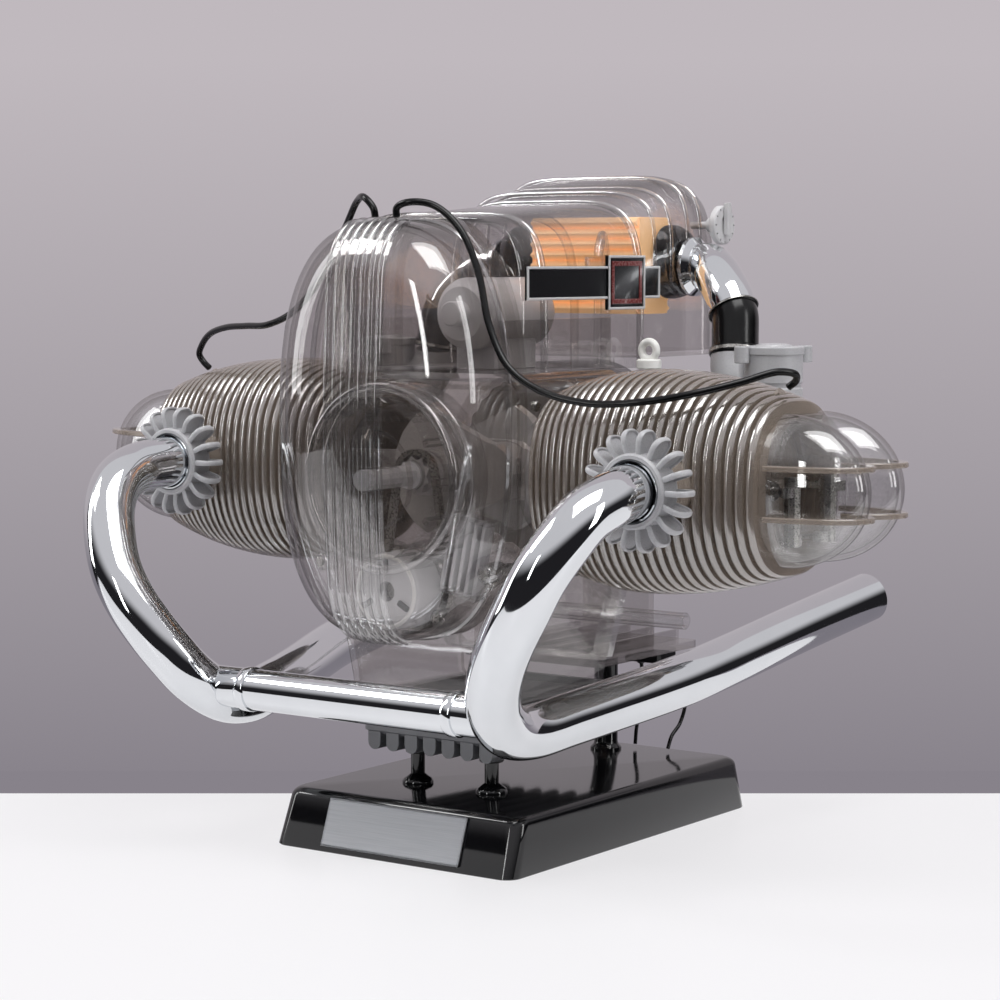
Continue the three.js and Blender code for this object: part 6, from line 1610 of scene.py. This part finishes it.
class ENGINE_OT_carried(bpy.types.Operator):
    """Gives every CAD node that stays in sight its finish"""

    bl_idname = "engine.carried"
    bl_label = "Moving parts"

    def execute(self, context):
        finishes(context.scene.engine_colours)
        for node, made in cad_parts.items():
            if made.hide_render:
                continue
            for slot in made.material_slots:
                slot.material = FINISHES[CARRIED.get(node, "steel")]
        return {"FINISHED"}


# Studio

# Each softbox: its place across, ahead and up from the camera's line, then its width and height, all in metres, and
# its brightness
SOFTBOXES = (
    ("top_softbox", 0.25, -0.5, 1.45, 1.0, 0.75, 5.6),
    ("high_softbox", -1.15, 0.0, 1.2, 0.45, 0.45, 10.0),
    ("left_softbox", -1.6, 0.25, 0.6, 0.3, 1.0, 5.0),
    ("right_softbox", 1.5, -0.9, 0.7, 0.3, 1.1, 6.0),
    ("front_softbox", -0.95, -1.3, 0.55, 0.12, 0.7, 10.0),
)
# The table's far and near edges along AHEAD, in millimetres
TABLE_FAR, TABLE_NEAR = 115.0, -370.0
# Where the table's white sheet ends along AHEAD, in metres as the shader measures it
SHEET_END = 0.064
# Share of the table's own glow in what the camera and mirrors see of it
TABLE_GLOW = 0.78
# Heights between which the wall's tone goes from its foot to its top, in metres: the darker foot is painted shade
WALL_FADE = (-0.28, 0.42)
# Upward parts of a view direction between which the dark room goes over into the pale ceiling
ROOM_FADE = (0.2, 0.55)
# Brightness of the room that lights the model, and of the backdrop that the camera sees
ROOM_LIGHT, BACKDROP_LIGHT = 0.78, 0.8


def glowing(tree, colour):
    return put(tree, "ShaderNodeEmission", {"Color": colour, "Strength": 1.0})


def seen(tree):
    """A value of one on rays from the camera, from mirrors and through clear walls."""
    path = put(tree, "ShaderNodeLightPath").outputs
    direct = maths(tree, "MAXIMUM", path["Is Camera Ray"], path["Is Glossy Ray"])
    return maths(tree, "MAXIMUM", direct, path["Is Transmission Ray"])


def slab(middle, half, deep, low, high):
    """An upright block between two heights: half is its half width, and deep its depth, both along the floor."""
    corners = (middle + half, middle - half, middle - half + deep, middle + half + deep)
    return loft([[(p.x, p.y, z) for p in corners] for z in (low, high)])


def stage_piece(name, shape, material):
    mesh = bpy.data.meshes.new(name)
    mesh.from_pydata([Vector(p) * MM for p in shape[0]], [], shape[1])
    mesh.materials.append(material)
    linked(name, mesh)


class ENGINE_OT_stage(bpy.types.Operator):
    """Sets the white table, the grey lilac wall, the soft lamps and the world"""

    bl_idname = "engine.stage"
    bl_label = "Studio"

    def execute(self, context):
        scene = context.scene
        scene.view_settings.view_transform = "Standard"
        scene.cycles.max_bounces = 24
        scene.cycles.transparent_max_bounces = 96
        scene.cycles.glossy_bounces = 6
        self.table(scene.engine_colours)
        self.wall(scene.engine_colours)
        self.world(scene)
        for name, aside, ahead, up, wide, tall, bright in SOFTBOXES:
            light = bpy.data.lights.new(name, "AREA")
            light.shape = "RECTANGLE"
            light.size, light.size_y = wide, tall
            light.energy = bright * wide * tall * math.pi
            made = linked(name, light)
            made.location = ASIDE * aside + AHEAD * ahead + Z_AXIS * up
            # Every lamp looks at the middle of the model
            aim = Vector((0, 0, 0.14)) - made.location
            made.rotation_euler = aim.to_track_quat("-Z", "Y").to_euler()
        return {"FINISHED"}

    def table(self, colours):
        material, tree = open_material("white_laminate_table")
        place = here(tree)
        rough = ranged(tree, noise(tree, place, 900.0, 2.0), 0.0, 1.0, 0.27, 0.33)
        feeds = {"Base Color": rgba(colours.table), "Roughness": rough, "IOR": 1.45}
        skin = put(tree, "ShaderNodeBsdfPrincipled", feeds)
        # Seen by the camera and in mirrors, the top glows as a white sweep does, and keeps its shadows
        share = maths(tree, "MULTIPLY", seen(tree), TABLE_GLOW)
        white = put(tree, "ShaderNodeMixShader", {0: share, 1: skin, 2: glowing(tree, rgba(colours.table))})
        # Past the edge of the white sheet the backdrop's paper runs on under the stand, in the darker tone of the
        # wall's foot, which is painted shade
        along = put(tree, "ShaderNodeVectorMath", {0: place, 1: tuple(AHEAD)}, operation="DOT_PRODUCT")
        beyond = maths(tree, "GREATER_THAN", along.outputs["Value"], SHEET_END)
        paper = glowing(tree, rgba(colours.wall_foot))
        shown(tree, put(tree, "ShaderNodeMixShader", {0: beyond, 1: white, 2: paper}))
        depth = AHEAD * (TABLE_NEAR - TABLE_FAR)
        stage_piece("table", slab(AHEAD * TABLE_FAR, ASIDE * 2200.0, depth, 0.0, -600.0), material)

    def wall(self, colours):
        material, tree = open_material("painted_studio_wall")
        height = put(tree, "ShaderNodeSeparateXYZ", {"Vector": here(tree)}).outputs["Z"]
        # The wall darkens towards its foot: painted shade
        tone = between(tree, ranged(tree, height, *WALL_FADE, 0.0, 1.0), colours.wall_foot, colours.wall)
        paint = put(tree, "ShaderNodeBsdfDiffuse", {"Color": tone})
        shown(tree, put(tree, "ShaderNodeMixShader", {0: seen(tree), 1: paint, 2: glowing(tree, tone)}))
        shape = slab(AHEAD * 1500.0, ASIDE * 3500.0, AHEAD * 40.0, -1500.0, 3000.0)
        stage_piece("wall", shape, material)

    def world(self, scene):
        world = bpy.data.worlds.new("studio")
        world.use_nodes = True
        tree = world.node_tree
        tree.nodes.clear()
        # A dark room near the floor's level and a pale ceiling above, which metal shows as its dark and light bands
        way = put(tree, "ShaderNodeTexCoord").outputs["Generated"]
        height = put(tree, "ShaderNodeSeparateXYZ", {"Vector": way}).outputs["Z"]
        rise = ranged(tree, height, *ROOM_FADE, 0.0, 1.0, interpolation_type="SMOOTHSTEP")
        tone = between(tree, rise, linear("#29282B"), linear("#EDEBEF"))
        air = put(tree, "ShaderNodeBackground", {"Color": tone, "Strength": ROOM_LIGHT})
        # The camera sees a pale backdrop past the wall's and the table's ends
        feeds = {"Color": rgba(scene.engine_colours.wall), "Strength": BACKDROP_LIGHT}
        pale = put(tree, "ShaderNodeBackground", feeds)
        direct = put(tree, "ShaderNodeLightPath").outputs["Is Camera Ray"]
        both = put(tree, "ShaderNodeMixShader", {0: direct, 1: air, 2: pale})
        put(tree, "ShaderNodeOutputWorld", {"Surface": both})
        scene.world = world


STEPS = (
    ENGINE_OT_camera,
    ENGINE_OT_cords,
    ENGINE_OT_stand,
    ENGINE_OT_sump,
    ENGINE_OT_case,
    ENGINE_OT_housing,
    ENGINE_OT_chest,
    ENGINE_OT_front,
    ENGINE_OT_top,
    ENGINE_OT_inside_top,
    ENGINE_OT_badge,
    ENGINE_OT_cylinders,
    ENGINE_OT_rocker_covers,
    ENGINE_OT_exhaust,
    ENGINE_OT_intake,
    ENGINE_OT_dipstick,
    ENGINE_OT_carried,
    ENGINE_OT_stage,
)


class ENGINE_PT_panel(bpy.types.Panel):
    """Lists the sizes, the colours and a button for each group of pieces"""

    bl_idname = "ENGINE_PT_panel"
    bl_label = "Engine model"
    bl_space_type = "VIEW_3D"
    bl_region_type = "UI"
    bl_category = "Engine model"

    def draw(self, context):
        for group in (context.scene.engine_sizes, context.scene.engine_colours):
            box = self.layout.box()
            for key in group.__annotations__:
                box.prop(group, key)
        for step in STEPS:
            self.layout.operator(step.bl_idname)


CLASSES = (EngineSizes, EngineColours, *STEPS, ENGINE_PT_panel)


def register():
    for each in CLASSES:
        bpy.utils.register_class(each)
    bpy.types.Scene.engine_sizes = bpy.props.PointerProperty(type=EngineSizes)
    bpy.types.Scene.engine_colours = bpy.props.PointerProperty(type=EngineColours)


def unregister():
    del bpy.types.Scene.engine_colours
    del bpy.types.Scene.engine_sizes
    for each in reversed(CLASSES):
        bpy.utils.unregister_class(each)


def main():
    register()
    for step in STEPS:
        group, call = step.bl_idname.split(".")
        getattr(getattr(bpy.ops, group), call)()


if __name__ == "__main__":
    main()
